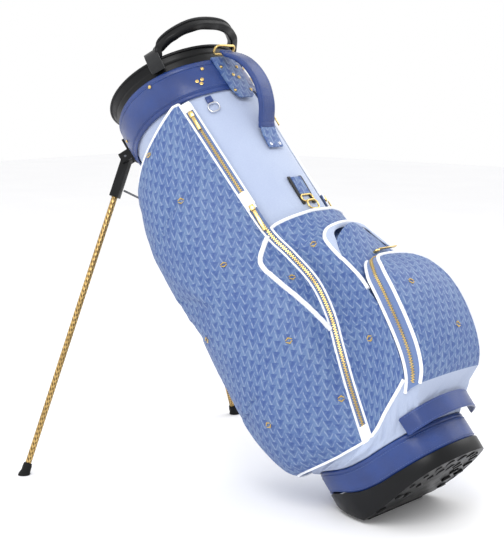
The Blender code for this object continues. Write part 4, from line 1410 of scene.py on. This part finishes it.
def curtain(name, start, end, node):
    """A sheet hung between two plan points, waving more towards its free lower edge."""
    start, end = Vector(start), Vector(end)
    across = (end - start).normalized()
    wide = Vector((-across.y, across.x))

    def place(u, v, layer):
        spot = start.lerp(end, u)
        wave = 0.0032 * math.sin(2 * math.pi * (1.5 * u + 0.15)) * (1.0 - v) * ease(4.0 * min(u, 1.0 - u))
        spot = spot + wide * wave
        return Vector((spot.x, spot.y, lerp(CURTAIN_LOW, CURTAIN_HIGH, v)))

    made = cloth(name, 24, 40, place)
    length = sum((place(k / 24, 0.5, 1.0) - place((k + 1) / 24, 0.5, 1.0)).length for k in range(24))
    made = thicken(made, 0.0012)
    dress(made, LINING, stands_for=(node,))
    print(f"  {name}: {length:.3f} x {CURTAIN_HIGH - CURTAIN_LOW:.3f} m")


curtain("curtain_long", (-0.114, 0.0), (0.086, 0.0), "divider_curtain_long")
for number, x in ((1, -0.075), (2, 0.030)):
    for side, sign in SIDES:
        node = f"divider_curtain_{side}_{number}"
        curtain(f"curtain_{side}_{number}", (x, sign * 0.002), (x, sign * 0.080), node)
print("five curtains hung")

# %% [markdown]
# ## Handles
# The grab handle is a rubbery grip with finger waves underneath, on webbing that wraps a lug on the
# cuff at each side. The carry handle is two layers of leather over foam: it hangs from a gold ring at
# the top, and its printed foot is riveted to the bag.
# %% grab handle
GRAB_HALF = ((0.050, -0.099, 0.872), (0.064, -0.096, 0.884), (0.089, -0.080, 0.8915), (0.110, -0.045, 0.897),
             (0.115, 0.0, 0.8995))


def finger_wave(v):
    held = ease((0.28 - abs(v - 0.5)) / 0.05)
    return 0.0150 + 0.0030 * held * (0.5 + 0.5 * math.cos(2 * math.pi * 4.5 * (v - 0.5) / 0.56))


grab_points = mirrored_line(GRAB_HALF)
GRAB_ACROSS = Vector((1.0, 0.0, 0.35))
grab = strap("grab_handle_grip", grab_points, lambda v: 0.0165, finger_wave, GRAB_ACROSS, cells=(24, 110),
             square=0.55, blunt=0.03)
dress(grab, PLASTIC, stands_for=("grab_handle",))
over = [(x + 0.001, y, z + 0.0082) for x, y, z in grab_points]
dress(strap("grab_handle_webbing", over, lambda v: 0.0145, lambda v: 0.0026, GRAB_ACROSS, cells=(16, 90),
            square=0.25, blunt=0.01), WEBBING)
for side, sign in SIDES:
    wrap = [(0.048, sign * 0.1085, 0.846), (0.051, sign * 0.1115, 0.862), (0.051, sign * 0.1090, 0.880),
            (0.046, sign * 0.1010, 0.888), (0.040, sign * 0.0930, 0.880), (0.038, sign * 0.0900, 0.864)]
    loop = strap(f"cuff_lug_webbing_{side}", wrap, lambda v: 0.026, lambda v: 0.0040,
                 Vector((0.85, -sign * 0.53, 0.0)), cells=(12, 40), square=0.25, blunt=0.02)
    dress(loop, WEBBING)
print("grab handle:", len(grab.data.polygons), "faces")

# %% carry handle
CARRY = ((0.1105, 0.0, 0.672), (0.121, 0.0, 0.686), (0.137, 0.0, 0.706), (0.149, 0.0, 0.737),
         (0.150, 0.0, 0.768), (0.143, 0.0, 0.795), (0.131, 0.0, 0.8145), (0.121, 0.0, 0.8275),
         (0.1165, 0.0, 0.8385))
ACROSS = Vector((0.0, 1.0, 0.0))


def carry_width(v):
    return lerp(0.0385, 0.030, ease((v - 0.80) / 0.15))


def carry_thick(v):
    seam = 1.0 - 0.16 * ease(1.0 - abs(v - 0.075) / 0.02)
    return lerp(0.0095, 0.0050, ease((v - 0.84) / 0.12)) * seam


carry = strap("carry_handle_leather", CARRY, carry_width, carry_thick, ACROSS, cells=(28, 120), square=0.5)
dress(carry, LEATHER, stands_for=("carry_handle",))
FOOT = ((0.1080, 0.0, 0.632), (0.1088, 0.0, 0.645), (0.1100, 0.0, 0.660), (0.1150, 0.0, 0.676),
        (0.1240, 0.0, 0.692))
dress(strap("carry_handle_foot", FOOT, lambda v: 0.0370, lambda v: 0.0032, ACROSS, cells=(16, 40),
            square=0.2), PRINTED)
path = route(CARRY, 120)
for name, y in (("right", -0.0155), ("left", 0.0155)):
    line = [point + Vector((0.0, y, 0.0)) for point in path[10:100]]
    seam, seam_out = lay_on(carry, [point + Vector((0.02, 0.0, 0.004)) for point in line], 0.0002)
    dress(stitches(f"carry_handle_stitches_{name}", seam, facing(seam, seam_out)), THREAD)
print("carry handle:", len(carry.data.polygons), "faces")

# %% [markdown]
# ## Hardware
# Rings and frames are bent from wire, so each is a round cord swept along a rounded rectangle. Rivets
# have a domed head on a thin washer: one is turned by spinning its profile, and copied to every
# place.
# %% rings, frames and rivets
def rounded_loop(width, height, corner_radius, steps=8):
    points = []
    for k, (sy, sz) in enumerate(((1, 1), (-1, 1), (-1, -1), (1, -1))):
        for i in range(steps + 1):
            turn = math.radians(90.0 * (k + i / steps))
            points.append(Vector((0.0, sy * (width / 2 - corner_radius) + corner_radius * math.cos(turn),
                                  sz * (height / 2 - corner_radius) + corner_radius * math.sin(turn))))
    return points


def wire_ring(name, placed, size, radius, material, node, body="bag"):
    """A wire loop in its own y-z plane, put in place by a matrix."""
    loop = [placed @ point for point in rounded_loop(*size, min(size) * 0.42)]
    return dress(tube(name, loop, radius, closed=True, sides=4), material, body, (node,))


def rivet():
    """A domed head on a washer, its top along Z."""
    profile = [(0.0, 0.0022), (0.0010, 0.0021), (0.0019, 0.0016), (0.0023, 0.0008), (0.0031, 0.0007),
               (0.0033, 0.0), (0.0, 0.0)]
    mesh = bpy.data.meshes.new("rivet")
    mesh.from_pydata([(x, 0.0, z) for x, z in profile], [(i, i + 1) for i in range(len(profile) - 1)], [])
    made = add_object("rivet", mesh)
    pick(made)
    bpy.ops.object.mode_set(mode="EDIT")
    bpy.ops.mesh.select_all(action="SELECT")
    bpy.ops.mesh.spin(steps=16, angle=2 * math.pi, center=(0.0, 0.0, 0.0), axis=(0.0, 0.0, 1.0))
    bpy.ops.object.mode_set(mode="OBJECT")
    return outward(made)


RIVET_LIFT = 0.0016


def rivets(name, spots):
    """Gold rivets at (height, angle, how far out) places of the bag."""
    places = []
    for height, angle, grow in spots:
        point, out = outline(height, angle, grow + RIVET_LIFT), level_out(outline(height, angle))
        places.append(axes(point, Vector((0.0, 0.0, 1.0)).cross(out), out))
    return dress(repeat(name, rivet(), places), GOLD)


ring_place = Matrix.Translation((0.1155, 0.0, 0.8405)) @ Matrix.Rotation(math.radians(70.0), 4, "Y")
wire_ring("handle_ring_wire", ring_place, (0.050, 0.018), 0.0022, GOLD, "handle_ring")
collar_spots = [(0.832, 69.0, 0.0), (0.796, 30.0, 0.0012), (0.796, 34.5, 0.0012), (0.789, 32.2, 0.0012),
                (0.816, 25.0, 0.001), (0.801, 125.0, 0.001)]
rivets("collar_rivets", collar_spots + [(h, -a, g) for h, a, g in collar_spots])
print("ring and rivets on the collar")

# %% handle tab
def tab_shape(u, v, layer):
    rounded = 1.0 - 0.45 * (1.0 - math.sqrt(max(0.0, 1.0 - (1.0 - clamp(v / 0.35)) ** 2)))
    angle = lerp(13.0, -13.0, u) * lerp(0.86, 1.0, v) * rounded
    height = lerp(0.742, 0.833, v)
    return outline(height, angle, 0.0046 + 0.0014 * (u - 0.5) ** 2)


tab = thicken(cloth("handle_tab_cloth", 28, 30, tab_shape), 0.0026)
dress(tab, PRINTED, stands_for=("handle_tab",))
rivets("handle_tab_rivets", [(0.810, 9.0, 0.0038), (0.810, -9.0, 0.0038), (0.757, 9.0, 0.0038),
                             (0.758, -9.0, 0.0038), (0.791, 1.5, 0.0038), (0.785, -3.0, 0.0038)])
foot_rivets = [Matrix.Translation((0.1098, y, 0.6385)) @ Matrix.Rotation(math.radians(88.0), 4, "Y")
               for y in (-0.0115, 0.0115)]
dress(repeat("carry_handle_rivets", rivet(), foot_rivets), SILVER)
knob = strap("handle_end_knob", ((0.1060, 0.012, 0.8385), (0.1075, 0.022, 0.8400), (0.1060, 0.032, 0.8385)),
             lambda v: 0.007, lambda v: 0.007, Vector((1.0, 0.0, 0.0)), cells=(20, 24), square=1.0,
             blunt=0.2)
dress(knob, GOLD)
print("handle tab riveted")

# %% D-rings on the collar and on the spine
for side, sign in SIDES:
    place = outline(0.757, 33.0)
    place.y = sign * abs(place.y)
    out = Vector((place.x + 0.0216, place.y, 0.0)).normalized()
    turn = axes(Vector(), out, Vector((0.0, 0.0, 1.0)))
    hang = Matrix.Translation(place + Vector((0.0, 0.0, -0.0175))) @ turn
    wire_ring(f"collar_ring_wire_{side}", hang, (0.020, 0.017), 0.0014, SILVER, f"collar_ring_{side}",
              f"collar_ring_{side}")
    refine(f"ring_tab_{side}", LEATHER, 0.0010, "bag")
spine = outline(0.53, 0.0, SHELL_OUT).x
ring_at = Matrix.Translation((spine + 0.0075, 0.0, 0.5075))
wire_ring("anchor_ring_wire", ring_at, (0.026, 0.018), 0.0016, GOLD, "anchor_ring", "anchor_ring")
frame_at = Matrix.Translation((spine + 0.0034, 0.0, 0.5235))
wire_ring("anchor_frame_wire", frame_at, (0.030, 0.013), 0.0016, GOLD, "anchor_frame")
tab_line = ((spine + 0.0026, 0.0, 0.568), (spine + 0.0030, 0.0, 0.548), (spine + 0.0034, 0.0, 0.530))
anchor_tab = strap("anchor_tab_cloth", tab_line, lambda v: 0.0265, lambda v: 0.0042, ACROSS, cells=(16, 24),
                   square=0.3)
dress(anchor_tab, PRINTED, stands_for=("anchor_tab",))
for side, sign in SIDES:
    y = 0.0150 * sign
    webbing = ((spine + 0.0015, y, 0.570), (spine + 0.0018, y, 0.540), (spine + 0.0015, y * 0.9, 0.512))
    dress(strap(f"anchor_webbing_{side}", webbing, lambda v: 0.0075, lambda v: 0.0026, ACROSS,
                cells=(12, 24), square=0.3), WEBBING)
print("D-rings hung")

# %% [markdown]
# ### Sliders and pulls
# Each slider and pull takes the shape of its part of the frame, with its edges rounded.
# %% sliders and pulls
for level in ("upper", "lower"):
    for side, _ in SIDES:
        body = f"zip_slider_{level}_{side}" if level == "upper" else "bag"
        refine(f"zip_slider_{level}_{side}", GOLD, 0.0007, body, 2)
        refine(f"zip_pull_{level}_{side}", GOLD, 0.0005, f"zip_pull_{level}_{side}", 2)
refine("zip_slider_ball", GOLD, 0.0007, "bag", 2)
refine("zip_pull_ball", GOLD, 0.0005, "zip_pull_ball", 2)
print("sliders and pulls finished")

# %% [markdown]
# ## The stand
# The stand's hard parts keep the frame's shapes with rounded edges, because they have to fit one
# another as it folds. The leg tubes get their printed gold finish.
# %% stand parts
refine("stand_bracket", PLASTIC, 0.0012, "bag", 2)
refine("push_rod", STEEL, 0.0004, "push_rod", 2)
for name in ("upper", "lower"):
    refine(f"rod_guide_{name}", PLASTIC, 0.0014, "bag", 2)
for side, _ in SIDES:
    refine(f"leg_pin_{side}", STEEL, 0.0004, "bag", 2)
    refine(f"leg_socket_{side}", PLASTIC, 0.0012, f"leg_{side}", 2)
    refine(f"leg_tube_{side}", LEG, 0.0004, f"leg_{side}", 2)
    refine(f"leg_foot_{side}", RUBBER, 0.0010, f"leg_{side}", 2)
    refine(f"spreader_{side}", STEEL, 0.0003, f"spreader_{side}", 2)
print("stand finished")
